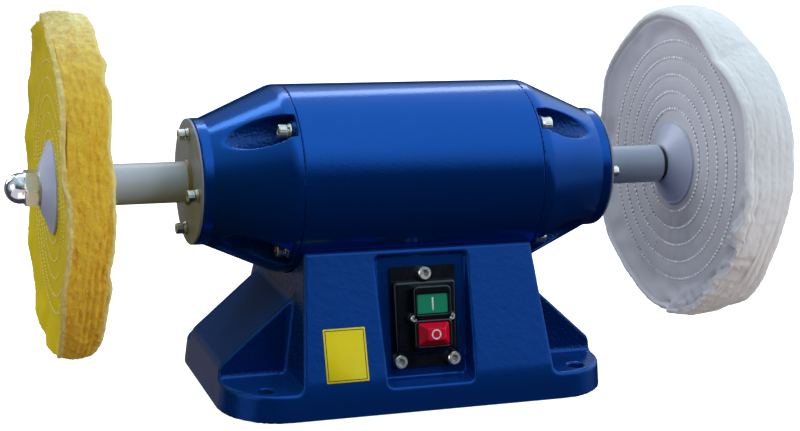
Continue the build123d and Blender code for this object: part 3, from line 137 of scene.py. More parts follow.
@dataclass(frozen=True)
class Finish:
    """A surface made in one way: two tones that mottle, a range of roughness, and its relief.

    Attributes:
        second: sRGB colour that it mottles towards.
        mottle: size of the mottling in mm.
        rough: lowest and highest roughness.
        relief: size and height in mm of each layer of bumps.
        stretch: factors along X, Y and Z that draw the patterns out, as brushing or turning does.
    """

    name: str
    tone: str
    second: str
    mottle: float = 20.0
    rough: Size2 = (0.3, 0.4)
    metal: float = 0.0
    coat: float = 0.0
    specular: float = 0.5
    relief: Table = ()
    stretch: Size3 = (1.0, 1.0, 1.0)
    glow: float = 0.0

    def material(self) -> bpy.types.Material:
        """Give the material, built on first use.

        Returns:
            The material with its nodes.
        """
        found = bpy.data.materials.get(self.name)
        if found:
            return found
        material = bpy.data.materials.new(self.name)
        material.use_nodes = True
        material.node_tree.nodes.clear()
        self.nodes(material.node_tree)
        return material

    def nodes(self, tree: Tree) -> None:
        """Build the nodes.

        Args:
            tree: empty tree of the material.
        """
        spot = add(tree, "ShaderNodeTexCoord").outputs["Object"]
        place = add(tree, "ShaderNodeMapping", {"Vector": spot, "Scale": self.stretch})
        blotch = add(tree, "ShaderNodeTexNoise", {
            "Vector": place, "Scale": 1 / (self.mottle * MM), "Detail": 4.0, "Roughness": 0.6})
        tones = add(tree, "ShaderNodeMix", {
            "Factor_Float": blotch, "A_Color": linear(self.tone),
            "B_Color": linear(self.second)}, data_type="RGBA")
        rough = add(tree, "ShaderNodeMapRange", {
            "Value": blotch, "From Min": 0.3, "From Max": 0.7, "To Min": self.rough[0],
            "To Max": self.rough[1]})
        bent = {}
        for size, height in self.relief:
            bumps = add(tree, "ShaderNodeTexNoise", {
                "Vector": place, "Scale": 1 / (size * MM), "Detail": 2.0, "Roughness": 0.5})
            relief = add(tree, "ShaderNodeBump", {
                "Height": bumps, "Distance": height * MM, "Strength": 1.0} | bent)
            bent = {"Normal": relief}
        if bent:
            bent["Coat Normal"] = bent["Normal"]
        shader = add(tree, "ShaderNodeBsdfPrincipled", {
            "Base Color": tones.outputs[2], "Roughness": rough, "Metallic": self.metal,
            "Coat Weight": self.coat, "Coat Roughness": COAT_ROUGHNESS, "Specular IOR Level": self.specular,
            "Emission Color": linear(self.tone), "Emission Strength": self.glow} | bent)
        add(tree, "ShaderNodeOutputMaterial", {"Surface": shader})


# Thick gloss enamel over rough castings: fine flakes tint its gloss, and the sand skin shows as lumps
CAST_ENAMEL = Finish(
    "gloss_blue_enamel_on_cast_iron", "#0C50AA", "#0A489A", 30.0, (0.16, 0.22), metal=0.45, coat=0.12,
    specular=0.08, relief=((6.0, 0.14), (2.0, 0.06)))
# The webs of the ribs and the ends of the pedestal, left as they came out of the sand: small dark pits
SAND_ENAMEL = Finish(
    "gloss_blue_enamel_on_sand_cast_web", "#03469C", "#02306E", 3.0, (0.18, 0.3), metal=0.45, coat=0.16,
    specular=0.12, relief=((2.8, 0.8), (1.3, 0.35)))
# The floors of the bells' pockets, which no tool has touched: coarse sand skin under the same enamel
RAW_ENAMEL = Finish(
    "gloss_blue_enamel_on_raw_sand_skin", "#044AA0", "#023474", 3.0, (0.2, 0.35), metal=0.36, coat=0.12,
    specular=0.2, relief=((3.2, 1.1), (1.3, 0.4)))
# The same enamel over the smoother barrel and bells: fine orange peel that breaks the highlight
BARREL_ENAMEL = Finish(
    "gloss_blue_enamel_on_fettled_iron", "#0454B0", "#044DA4", 40.0, (0.12, 0.16), metal=0.62, coat=0.22,
    specular=0.06, relief=((3.0, 0.02), (1.5, 0.07)))
# Satin grey paint sprayed on turned steel: soft highlights, hardly any grain
GREY_ENAMEL = Finish(
    "satin_grey_enamel_on_steel", "#C6CBDC", "#B9BED0", 25.0, (0.3, 0.4), relief=((3.0, 0.03),))
# The same paint on the bearing plates, painted darker as shade and a little bluer to cancel the yellow light
# that the wheel throws on them
SHADED_PLATE_ENAMEL = Finish(
    "satin_blue_grey_enamel_on_steel", "#9094AC", "#8488A0", 25.0, (0.3, 0.4), specular=0.3,
    relief=((3.0, 0.03),))
# Zinc plating: bright silver, yellowish where it was passivated
ZINC = Finish("zinc_plated_steel", "#E8EAEE", "#D6D1BC", 4.0, (0.25, 0.4), metal=1.0, relief=((0.8, 0.01),))
# Weld bead that was only brushed: its olive-brown is partly a painted reflection of the yellow wheel
WELD = Finish("brushed_weld_bead", "#8A8266", "#6A614A", 5.0, (0.4, 0.55), metal=0.5, relief=((1.0, 0.05),))
# Polished plating on the domes of the nuts: a mirror, hardly clouded by wiping
CHROME = Finish("polished_nickel_plate", "#E8E8EB", "#D8D8DC", 12.0, (0.06, 0.12), metal=0.9)
# Turned steel: fine rings from the tool that draw the gloss out
STEEL = Finish("turned_steel", "#B4B4B8", "#9C9CA2", 6.0, (0.25, 0.4), metal=1.0, stretch=(6.0, 1.0, 1.0))
# Die-cast aluminium: dull pale grey with a fine grain
ALUMINIUM = Finish(
    "die_cast_aluminium", "#B9BBBE", "#A5A7AB", 8.0, (0.4, 0.55), metal=1.0, relief=((1.5, 0.04),))
# Lacquered windings: red-brown wire with a wet gloss
COPPER = Finish(
    "enamelled_copper_wire", "#B4673A", "#8E4A25", 3.0, (0.25, 0.35), metal=1.0, coat=0.4,
    relief=((1.2, 0.1),))
# Moulded rubber: dull black, greyer in patches
RUBBER = Finish("moulded_black_rubber", "#171718", "#232324", 5.0, (0.55, 0.7), relief=((0.8, 0.02),))
# Powder coat on the folded bracket: deep black, with fine lumps that break its gloss
BLACK_SHEET = Finish(
    "black_powder_coat_on_sheet", "#0C0D13", "#101118", 10.0, (0.2, 0.3), specular=0.7, relief=((1.2, 0.03),))
# Moulded frame of the switch: black with a clear gloss on its soft edges
BLACK_PLASTIC = Finish(
    "moulded_black_polyamide", "#0A0A0E", "#111217", 8.0, (0.2, 0.3), coat=0.4, relief=((0.9, 0.02),))
# Start key, coloured all through: even green with a satin face
GREEN_PLASTIC = Finish(
    "moulded_green_polycarbonate", "#0C9468", "#0A865C", 9.0, (0.35, 0.45), specular=0.2,
    relief=((1.5, 0.01),))
# Stop key of the same plastic: clear red, a little glossier
RED_PLASTIC = Finish(
    "moulded_red_polycarbonate", "#EC0630", "#D6062C", 9.0, (0.3, 0.4), specular=0.18, relief=((1.5, 0.01),))
# Thin ink on the keys: matt white, not quite even
PALE_PRINT = Finish("pad_printed_white_ink", "#E9E6DF", "#DAD6CC", 2.0, (0.5, 0.6))
# Vinyl film: flat yellow that waves a little over the casting
YELLOW_VINYL = Finish(
    "yellow_vinyl_label", "#F6DC1C", "#EACB16", 14.0, (0.4, 0.5), specular=0.1, relief=((5.0, 0.01),))
# Printed line on the film: matt black
BLACK_INK = Finish("printed_black_ink", "#151515", "#202020", 4.0, (0.45, 0.55))

CAD_FINISHES = {
    "blue_enamel": CAST_ENAMEL, "grey_enamel": GREY_ENAMEL, "zinc_steel": ZINC, "bright_nut": CHROME,
    "machined_steel": STEEL, "cast_aluminium": ALUMINIUM, "copper_wire": COPPER, "black_rubber": RUBBER,
    "black_sheet": BLACK_SHEET, "black_plastic": BLACK_PLASTIC, "green_button": GREEN_PLASTIC,
    "red_button": RED_PLASTIC,
}


@dataclass(frozen=True)
class ClothFinish(Finish):
    """Cotton sewn in plies: a woven face, and a rim of cut plies with fuzz.

    Attributes:
        spots: colour of the denser spots, and the painted shade in the gaps between the plies.
        streak: size of the spots across the rim in mm, and how much they are drawn out along it.
        weave: thread spacing in mm, drawn coarser than the real 0.6 mm so that it shows.
        clump: size of the tufts of cut ends in mm.
        tips: how far the pale tips of the cut ends show.
    """

    rim: str = "#E8E2D6"
    spots: str = "#C9BFB2"
    spot_cover: float = 0.3
    streak: Size2 = (4.0, 4.0)
    fuzz: str = "#F4F2EC"
    weave: float = 1.6
    thread: float = 0.2
    sheen: float = 0.2
    clump: float = 1.7
    pile: float = 0.9
    tips: float = 0.4
    soil: str = "#6E6A70"

    def nodes(self, tree: Tree) -> None:
        """Build the nodes on the attributes that the wheel's mesh carries.

        Args:
            tree: empty tree of the material.
        """
        place = add(tree, "ShaderNodeTexCoord").outputs["Object"]
        # The lip mark also carries the painted sheen on the top of the rim; both take the pale fuzz colour
        rim, valley, lip, dust = (add(tree, "ShaderNodeAttribute", attribute_name=name).outputs["Fac"]
                                  for name in ("rim", "valley", "lip", "dust"))
        drawn = (1.0, 1 / self.streak[1], 1 / self.streak[1])
        along = add(tree, "ShaderNodeMapping", {"Vector": place, "Scale": drawn})
        blotch, tuft, dense, threads = (
            add(tree, "ShaderNodeTexNoise",
                {"Vector": where, "Scale": 1 / (size * MM), "Detail": detail, "Roughness": 0.65})
            for where, size, detail in ((place, self.mottle, 5.0), (place, self.clump, 4.0),
                                        (along, self.streak[0], 5.0), (place, self.weave, 3.0)))
        low = 0.62 - 0.3 * self.spot_cover
        patch = add(tree, "ShaderNodeMapRange", {"Value": dense, "From Min": low, "From Max": low + 0.26})
        ends = add(tree, "ShaderNodeMapRange", {
            "Value": tuft, "From Min": 0.5, "From Max": 0.7, "To Min": 0.0, "To Max": self.tips})
        # Painted shade: the gaps between the plies take the spots colour
        gaps, grime, fluff = (add(tree, "ShaderNodeMath", {0: a, 1: b}, operation="MULTIPLY")
                              for a, b in ((valley, 0.7), (dust, blotch), (tuft, rim)))
        deep, pale = (add(tree, "ShaderNodeMath", {0: a, 1: b}, operation="MAXIMUM")
                      for a, b in ((patch, gaps), (ends, lip)))
        stacks = []
        for ground, layers in ((self.tone, ((blotch, self.second), (grime, self.soil))),
                               (self.rim, ((deep, self.spots), (pale, self.fuzz)))):
            tint = linear(ground)
            for share, tone in layers:
                tint = add(tree, "ShaderNodeMix", {
                    "Factor_Float": share, "A_Color": tint,
                    "B_Color": linear(tone)}, data_type="RGBA").outputs[2]
            stacks.append(tint)
        colour = add(tree, "ShaderNodeMix", {
            "Factor_Float": rim, "A_Color": stacks[0], "B_Color": stacks[1]}, data_type="RGBA")
        weave = add(tree, "ShaderNodeBump", {
            "Height": threads, "Distance": self.thread * MM, "Strength": 0.6})
        plies = add(tree, "ShaderNodeBump", {
            "Height": fluff, "Distance": self.pile * MM, "Strength": 0.7, "Normal": weave})
        shader = add(tree, "ShaderNodeBsdfPrincipled", {
            "Base Color": colour.outputs[2], "Roughness": 0.85, "Specular IOR Level": 0.2,
            "Sheen Weight": self.sheen, "Sheen Roughness": 0.5, "Sheen Tint": linear(self.fuzz),
            "Normal": plies})
        add(tree, "ShaderNodeOutputMaterial", {"Surface": shader})


# Bleached cotton: dull white with grey-blue shade, cream where the plies were cut
WHITE_COTTON = ClothFinish(
    "bleached_cotton_muslin", "#D6D5D8", "#C6C4C8", 22.0, rim="#E8E7E6", spots="#DCD6CC", spot_cover=0.3,
    streak=(3.0, 6.0), fuzz="#F2F1EE", pile=0.4)
# Yellow treated cotton: smooth stiff faces, terry-like golden rim with orange spots and pale ends
YELLOW_COTTON = ClothFinish(
    "treated_yellow_cotton", "#E2C600", "#D8BA00", 35.0, rim="#F1C232", spots="#DF9206", spot_cover=0.5,
    streak=(2.6, 4.0), fuzz="#F2EAB0", sheen=0.0, pile=1.6, tips=0.2)
# Bleached thread: brighter than the cloth that it pulls down
WHITE_THREAD = Finish("white_cotton_thread", "#FFFFFF", "#F8F8FA", 3.0, (0.8, 0.9), specular=0.2)
# Dents that the needle left between the stitches: grey, as cloth in shade
GREY_SHADOW = Finish("shaded_needle_hole_in_cotton", "#7A7882", "#6E6C76", 3.0, (0.85, 0.95), specular=0.1)
# Thread that took little of the dye: pale against the yellow face
YELLOW_THREAD = Finish("pale_yellow_cotton_thread", "#FFF3B4", "#F4E490", 3.0, (0.8, 0.9), specular=0.2)
# Fibres that stand off the yellow rim: a pale golden haze
YELLOW_LINT = Finish("pale_golden_cotton_lint", "#F0E4A8", "#E6D488", 3.0, (0.8, 0.9), specular=0.1)


def shown(name: str, data: bpy.types.ID) -> Object:
    """Put a new object in the scene.

    Args:
        name: name of the object.
        data: its mesh, light or camera.

    Returns:
        The new object.
    """
    piece = bpy.data.objects.new(name, data)
    bpy.context.scene.collection.objects.link(piece)
    return piece


def mesh_piece(name: str, points: Array, faces: list, finish: Finish, normals: Array | None = None) -> Object:
    """Make an object from points in mm.

    Args:
        name, finish: name and finish of the object.
        points: points in the machine's frame, in mm.
        faces: corner indices of each face.
        normals: shading normal of each point, where the form gives them.

    Returns:
        The new object.
    """
    mesh = bpy.data.meshes.new(name)
    mesh.from_pydata((points * MM).tolist(), [], faces)
    mesh.shade_smooth()
    if normals is not None:
        mesh.normals_split_custom_set_from_vertices(normals.tolist())
    mesh.materials.append(finish.material())
    return shown(name, mesh)


class Fill(Enum):
    """Fill lights that are flagged off the dark enamel, with the slots of the pieces that they reach."""

    PALE = ("grey_enamel", "zinc_steel", "bright_nut", "yellow_cloth", "white_cloth")
    FRONT = ("yellow_cloth", "white_cloth", "grey_enamel", "zinc_steel", "green_button", "red_button")
    BELOW = ("yellow_cloth", "white_cloth", "bright_nut")
    BOUNCE = ("bright_nut",)

    def pieces(self) -> bpy.types.Collection:
        """Give the collection of the pieces that the light reaches."""
        name = f"{self.name.lower()}_pieces"
        return bpy.data.collections.get(name) or bpy.data.collections.new(name)

    @classmethod
    def reach(cls, piece: Object, slot: str) -> None:
        """Put a piece in the reach of each fill that its slot asks for.

        Args:
            piece: finished object.
            slot: material slot of the record.
        """
        for fill in cls:
            if slot in fill.value:
                fill.pieces().objects.link(piece)


def seat(piece: Object, body: str, slot: str, *nodes: str) -> None:
    """Let a piece ride on its body, put it in reach of the fills that its slot asks for, and let it stand for
    CAD nodes.

    Args:
        piece: finished object.
        body: body that carries it.
        slot: material slot of the record.
        nodes: CAD nodes that it replaces.
    """
    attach(piece, body)
    Fill.reach(piece, slot)
    if nodes:
        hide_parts(*nodes)
    LOG.info("%s: %d faces on %s", piece.name, len(piece.data.polygons), body)


def round_max(a: Array, b: Array, radius: float) -> Array:
    """Intersect two distance fields with a rounded edge of the given radius."""
    corner = np.hypot(np.maximum(a + radius, 0), np.maximum(b + radius, 0))
    return np.minimum(np.maximum(a, b), -radius) + corner


def round_min(a: Array, b: Array, radius: float) -> Array:
    """Join two distance fields with a fillet of the given radius."""
    return -round_max(-a, -b, radius)


def block(x: Array, y: Array, half: Size2, radius: float) -> Array:
    """Distance to a rectangle with rounded corners, centred on the origin."""
    return round_max(np.abs(x) - half[0], np.abs(y) - half[1], radius)


def quads(rows: int, count: int, closed: bool = True) -> Array:
    """List the faces of a grid of points whose rows are closed loops.

    Args:
        rows: number of rows.
        count: points in a row.
        closed: whether the last row meets the first.

    Returns:
        Corner indices of each face.
    """
    row, step = np.meshgrid(np.arange(rows if closed else rows - 1), np.arange(count), indexing="ij")
    after, beside = (row + 1) % rows, (step + 1) % count
    return np.stack([row * count + step, after * count + step, after * count + beside, row * count + beside],
                    -1).reshape(-1, 4)


def face_out(points: Array, faces: Array, normals: Array) -> list:
    """Turn all faces round if most of them look against their normals.

    Args:
        points: points of the mesh.
        faces: corner indices of each face.
        normals: outward normal of each point.

    Returns:
        The faces, looking outwards.
    """
    a, b, c = (points[faces[:, i]] for i in range(3))
    facing = np.einsum("ij,ij->i", np.cross(b - a, c - a), normals[faces[:, 0]])
    return (faces[:, ::-1] if np.median(facing) < 0 else faces).tolist()


def gradient(form: Field, points: Array, reach: float = 0.04) -> Array:
    """Work out the slope of a distance field by central differences.

    Args:
        form: distance in mm.
        points: places in mm.
        reach: half of the difference in mm.

    Returns:
        The slope at each point.
    """
    slopes = []
    for axis in range(3):
        shift = np.zeros(3)
        shift[axis] = reach
        slopes.append((form(*(points + shift).T) - form(*(points - shift).T)) / (2 * reach))
    return np.stack(slopes, 1)


def skin(form: Field, low: Size3, high: Size3, step: float, pulls: int = 4) -> tuple[Array, list, Array]:
    """Mesh the zero surface of a distance field, with one point in each cell that it crosses.

    Args:
        form: distance in mm, negative inside.
        low, high: corners of the space, in mm.
        step: cell size in mm.
        pulls: rounds that draw the points onto the surface.

    Returns:
        Points, faces and outward normals.
    """
    axes = [np.arange(a - 1.5 * step, b + 2.5 * step, step) for a, b in zip(low, high)]
    values = form(*np.meshgrid(*axes, indexing="ij"))
    cells = np.array(values.shape) - 1
    start = np.array([axis[0] for axis in axes])
    sums = np.zeros((int(np.prod(cells)), 3))
    count = np.zeros(len(sums))
    strides = np.array([cells[1] * cells[2], cells[2], 1])
    rings = []
    for axis in range(3):
        lined = np.moveaxis(values, axis, 0)
        crossed = np.argwhere((lined[:-1] < 0) != (lined[1:] < 0))
        before, after = (part[tuple(crossed.T)] for part in (lined[:-1], lined[1:]))
        others = [i for i in range(3) if i != axis]
        index = np.empty_like(crossed)
        index[:, [axis, *others]] = crossed
        places = index.astype(float)
        places[:, axis] += before / (before - after)
        ring = []
        for back in ((0, 0), (1, 0), (1, 1), (0, 1)):
            cell = index.copy()
            cell[:, others] -= back
            number = cell @ strides
            for i in range(3):
                sums[:, i] += np.bincount(number, places[:, i], len(sums))
            count += np.bincount(number, minlength=len(sums))
            ring.append(number)
        ring = np.stack(ring, 1)
        turn = (before < 0) != (axis == 1)
        ring[turn] = ring[turn][:, ::-1]
        rings.append(ring)
    used = np.flatnonzero(count)
    renumber = np.full(len(sums), -1)
    renumber[used] = np.arange(len(used))
    points = start + step * sums[used] / count[used, None]
    for _ in range(pulls):
        slope = gradient(form, points)
        move = form(*points.T)[:, None] * slope / np.maximum((slope ** 2).sum(1), 0.2)[:, None]
        points = points - np.clip(move, -step, step)
    slope = gradient(form, points)
    normals = slope / np.maximum(np.linalg.norm(slope, axis=1), 1e-6)[:, None]
    return points, face_out(points, renumber[np.concatenate(rings)], normals), normals


def carved(name: str, form: Field, low: Size3, high: Size3, step: float, finish: Finish,
           other: Finish | None = None, where: Spread | None = None) -> Object:
    """Make an object from a distance field, with a second finish on some of its faces.

    Args:
        name, finish: name and finish of the object.
        form: distance in mm, negative inside.
        low, high: corners of the space, in mm.
        step: cell size in mm.
        other: finish of the faces that are picked out.
        where: picks faces out by their middles and normals.

    Returns:
        The new object.
    """
    points, faces, normals = skin(form, low, high, step)
    piece = mesh_piece(name, points, faces, finish, normals)
    if where:
        piece.data.materials.append(other.material())
        corners = np.array(faces)
        picked = where(points[corners].mean(1), normals[corners].mean(1))
        piece.data.polygons.foreach_set("material_index", picked.astype(np.int32))
    return piece


def turned(name: str, corners: list[Size3], finish: Finish, segments: int = 128,
           ripple: Spread | None = None, arc: int = 5) -> Object:
    """Turn a closed section about the spindle's axis.

    Args:
        name, finish: name and finish of the object.
        corners: station, radius and edge rounding of each corner, in mm.
        segments: divisions of the turn.
        ripple: extra radius for stations and angles, for beads that aren't quite round.
        arc: points of each rounded corner.

    Returns:
        The new object.
    """
    flat = np.array([corner[:2] for corner in corners])
    area = np.sum(flat[:, 0] * np.roll(flat[:, 1], -1) - np.roll(flat[:, 0], -1) * flat[:, 1])
    if area < 0:
        corners = corners[::-1]
        flat = flat[::-1]
    line, outward = [], []
    for i, (_, _, radius) in enumerate(corners):
        before = flat[i] - flat[i - 1]
        after = flat[(i + 1) % len(flat)] - flat[i]
        before, after = before / np.linalg.norm(before), after / np.linalg.norm(after)
        turn = math.atan2(before[0] * after[1] - before[1] * after[0], float(before @ after))
        reach = abs(math.tan(turn / 2)) * radius
        sign = math.copysign(1.0, turn)
        centre = flat[i] - before * reach + sign * radius * np.array([-before[1], before[0]])
        for angle in turn * np.linspace(0, 1, arc):
            cos, sin = math.cos(angle), math.sin(angle)
            way = np.array([before[1] * cos + before[0] * sin, before[1] * sin - before[0] * cos])
            line.append(centre + sign * radius * way)
            outward.append(way)
    line, outward = np.array(line), np.array(outward)
    angles = np.linspace(0, 2 * math.pi, segments, endpoint=False)[:, None]
    station, radius, along, off = (np.repeat(column[None], segments, 0) for column in (*line.T, *outward.T))
    if ripple:
        radius = radius + ripple(station, angles)
    cos, sin = np.cos(angles), np.sin(angles)
    points = np.stack([station, radius * cos, radius * sin + SHAFT_HEIGHT], -1).reshape(-1, 3)
    normals = np.stack([along, off * cos, off * sin], -1).reshape(-1, 3)
    return mesh_piece(name, points, face_out(points, quads(segments, len(line)), normals), finish, normals)


@dataclass
class CastBase:
    """Pedestal casting: foot with four ears, leaning panels, two ribs, saddle and switch recess.

    Attributes:
        foot: half length, half depth and height of the foot.
        pedestal: half length of the pedestal at its foot and at its top.
        web: wall between the pedestal and the hollow under a rib.
        holes: place of the bolt holes from the middle in X and Y, and their radius.
        recess: half widths of the switch recess at its foot and top, and the levels of both.
        recess_floor: Y of its floor, and the level where that is measured.
        rebate: half length, inset and depth of the rebate for the bottom plate.
        fine_edges: radii of the recess's corners and rim, and of the edges of the saddle and the bolt holes.
    """

    foot: Size3 = (151.5, 96.5, 20.0)
    corner: float = 45.0
    draft: float = math.radians(6.0)
    pedestal: Size2 = (98.2, 89.2)
    saddle_radius: float = 70.1
    saddle_top: float = 113.7
    land: float = 2.0
    rib_half: float = 47.5
    rib_end: float = 30.0
    rib_slope: float = math.radians(41.5)
    wall: float = 8.0
    web: float = 2.0
    holes: Size3 = (122.0, 79.0, 6.0)
    recess: Size4 = (33.5, 36.0, 19.3, 108.7)
    recess_floor: Size2 = (-65.85, 63.0)
    recess_lean: float = math.radians(12.5)
    rebate: Size3 = (96.2, 2.6, 5.0)
    fillet: float = 5.0
    edge: float = 2.4
    fine_edges: Size4 = (4.0, 2.0, 0.8, 1.0)
    cell: float = 1.8

    def hollow(self, x: Array, y: Array, z: Array, margin: float) -> Array:
        """Measure to the space of the switch recess.

        Args:
            x, y, z: places in mm.
            margin: growth of the space in mm.

        Returns:
            Distance, negative in the space.
        """
        share = (z - self.recess[2]) / (self.recess[3] - self.recess[2])
        half = self.recess[0] + (self.recess[1] - self.recess[0]) * share + margin
        rise = np.maximum(self.recess[2] - margin - z, z - self.recess[3] - margin)
        floor = self.recess_floor[0] + margin + (z - self.recess_floor[1]) * math.tan(self.recess_lean)
        sides = round_max(np.abs(x) - half, rise, self.fine_edges[0])
        return round_max(sides, (y - floor) * math.cos(self.recess_lean), self.fine_edges[1])

    def form(self, x: Array, y: Array, z: Array) -> Array:
        """Measure to the casting.

        Args:
            x, y, z: places in mm.

        Returns:
            Distance, negative inside.
        """
        ax, ay = np.abs(x), np.abs(y)
        length, depth, height = self.foot
        slant, cos_draft = math.tan(self.draft), math.cos(self.draft)
        foot_top = depth - height * slant
        top_depth = math.sqrt(self.saddle_radius ** 2 - (SHAFT_HEIGHT - self.saddle_top) ** 2) + self.land
        lean = (foot_top - top_depth) / (self.saddle_top - height)
        taper = (self.pedestal[0] - self.pedestal[1]) / (self.saddle_top - height)
        outline = (block(x, y, (length, depth), self.corner) + z * slant) * cos_draft
        panel = (ay - foot_top + (z - height) * lean) / math.hypot(1, lean)
        flank = (ax - self.pedestal[0] + (z - height) * taper) / math.hypot(1, taper)
        body = round_min(z - height, np.maximum(flank, z - self.saddle_top), self.fillet)
        rib_end_x = length - self.rib_end * slant
        slope = (z - self.rib_end) * math.cos(self.rib_slope) - (rib_end_x - ax) * math.sin(self.rib_slope)
        body = round_min(body, round_max(slope, ay - self.rib_half, self.edge), self.fillet)
        body = round_max(round_max(body, outline, self.edge), panel, self.edge)
        axle = np.hypot(y, z - SHAFT_HEIGHT)
        body = round_max(body, self.saddle_radius - axle, self.fine_edges[2])
        body = round_max(body, -self.hollow(x, y, z, 0.0), self.fine_edges[1])
        bolt = np.hypot(ax - self.holes[0], ay - self.holes[1]) - self.holes[2]
        body = round_max(body, -bolt, self.fine_edges[3])
        room = np.maximum.reduce([
            panel + self.wall, ay - foot_top + self.wall, ax - self.pedestal[1] + self.wall,
            self.saddle_radius + self.wall - axle, -self.hollow(x, y, z, self.wall)])
        under = np.maximum.reduce([ax - rib_end_x + self.wall, self.pedestal[0] + self.web - ax,
                                   ay - self.rib_half + self.wall, slope + self.wall])
        rebate = np.maximum.reduce([ax - self.rebate[0], ay - foot_top + self.rebate[1], z - self.rebate[2]])
        return np.maximum.reduce([body, -room, -under, -rebate, -z])

    def sandy(self, middles: Array, normals: Array) -> Array:
        """Pick out the webs of the ribs and the ends of the pedestal.

        Args:
            middles: middle of each face.
            normals: normal of each face.

        Returns:
            True for the faces that keep their sand skin.
        """
        x, _, z = np.abs(middles.T)
        out = np.abs(normals)
        webs = (out[:, 1] > 0.8) & (x > self.pedestal[0] + self.web / 2) & (z > self.foot[2] + 2.0)
        ends = (out[:, 0] > 0.85) & (x < self.pedestal[0] + self.web) & (z > self.foot[2] + self.fillet)
        return webs | ends

    def build(self) -> None:
        """Make the casting."""
        length, depth, _ = self.foot
        piece = carved("cast_base", self.form, (-length, -depth, 0.0), (length, depth, self.saddle_top),
                       self.cell, CAST_ENAMEL, SAND_ENAMEL, self.sandy)
        seat(piece, "frame", "blue_enamel", "base_casting")


@dataclass
class EndBell:
    """Cone-shaped end cover of the motor, with four screw pockets cut along it.

    Attributes:
        pocket: radius of the pockets' circle, their own radius, and the station of their floors.
        boss: radius of the screw bosses, and the station of their tops.
        hub: radius of the bearing hub, and the station of its inner end.
        room: radius and last station of the hollow inside.
        spigot: radius and length of the part that enters the barrel, and the gap at the seam.
    """

    side: Side
    seam: float = 92.5
    collar: float = 159.8
    rim: float = 70.0
    lip: float = 6.6
    collar_radius: float = 46.5
    collar_width: float = 7.3
    wall: float = 6.0
    pocket: Size3 = (61.5, 11.5, 94.5)
    pocket_wall: float = 4.0
    boss: Size2 = (7.0, 97.5)
    hub: Size2 = (30.5, 134.5)
    room: Size2 = (56.9, 142.0)
    bore: float = 19.0
    spigot: Size3 = (62.9, 4.0, 0.05)
    edges: tuple[float, ...] = (1.2, 0.6, 1.5, 1.4, 0.5, 1.0)
    cell: float = 1.4

    def apart(self, y: Array, z: Array) -> tuple[Array, Array]:
        """Measure across the spindle.

        Args:
            y, z: places in mm.

        Returns:
            Distances from the axis of the nearest pocket and from the spindle's axis.
        """
        radius = np.hypot(y, z - SHAFT_HEIGHT)
        near = np.mod(np.arctan2(z - SHAFT_HEIGHT, y), math.pi / 2) - math.pi / 4
        return np.hypot(radius * np.cos(near) - self.pocket[0], radius * np.sin(near)), radius

    def form(self, x: Array, y: Array, z: Array) -> Array:
        """Measure to the bell.

        Args:
            x, y, z: places in mm.

        Returns:
            Distance, negative inside.
        """
        along = x * self.side.value
        apart, radius = self.apart(y, z)
        rim_edge, collar_edge, floor_edge, mouth_edge, boss_edge, boss_foot = self.edges
        start, end = self.seam + self.lip, self.collar - self.collar_width
        fall = (self.rim - self.collar_radius) / (end - start)
        cone = (radius - self.rim + (along - start) * fall) / math.hypot(1, fall)
        outer = np.maximum(round_max(radius - self.rim, cone, rim_edge), along - end)
        neck = round_max(radius - self.collar_radius, along - self.collar, collar_edge)
        gap = apart - self.pocket[1]
        hub = np.maximum(radius - self.hub[0], self.hub[1] - along)
        hollow = np.maximum.reduce([cone + self.wall, radius - self.room[0], along - self.room[1], -hub,
                                    self.pocket_wall - gap])
        shell = np.maximum.reduce([np.minimum(outer, neck), -hollow, self.bore - radius])
        shell = round_max(shell, -round_max(gap, self.pocket[2] - along, floor_edge), mouth_edge)
        boss = round_max(apart - self.boss[0], along - self.boss[1], boss_edge)
        shell = round_min(shell, boss, boss_foot)
        back = np.where(radius > self.spigot[0], self.seam + self.spigot[2], self.seam - self.spigot[1])
        return np.maximum(shell, back - along)

    def raw(self, middles: Array, _: Array) -> Array:
        """Pick out the faces of the pockets by their middles."""
        x, y, z = middles.T
        return (self.apart(y, z)[0] < self.pocket[1] + 0.1) & (np.abs(x) > self.pocket[2] - 0.5)

    def build(self) -> None:
        """Make the bell."""
        ends = sorted((self.side.value * (self.seam - self.spigot[1]), self.side.value * self.collar))
        low, high = ((end, way * self.rim, SHAFT_HEIGHT + way * self.rim) for end, way in zip(ends, (-1, 1)))
        word = self.side.word
        piece = carved(f"{word}_cast_bell", self.form, low, high, self.cell, BARREL_ENAMEL, RAW_ENAMEL,
                       self.raw)
        seat(piece, "frame", "blue_enamel", f"{word}_end_bell")


@dataclass
class MotorBarrel:
    """Smooth barrel between the bells."""

    half_length: float = 92.5
    radius: float = 70.0
    wall: float = 7.0
    edges: Size2 = (0.3, 1.0)

    def build(self) -> None:
        """Make the barrel."""
        end, outer, inner, (fine, edge) = self.half_length, self.radius, self.radius - self.wall, self.edges
        corners = [(-end, inner, fine), (-end, outer, edge), (end, outer, edge), (end, inner, fine)]
        seat(turned("motor_barrel", corners, BARREL_ENAMEL, 192), "frame", "blue_enamel", "motor_shell")


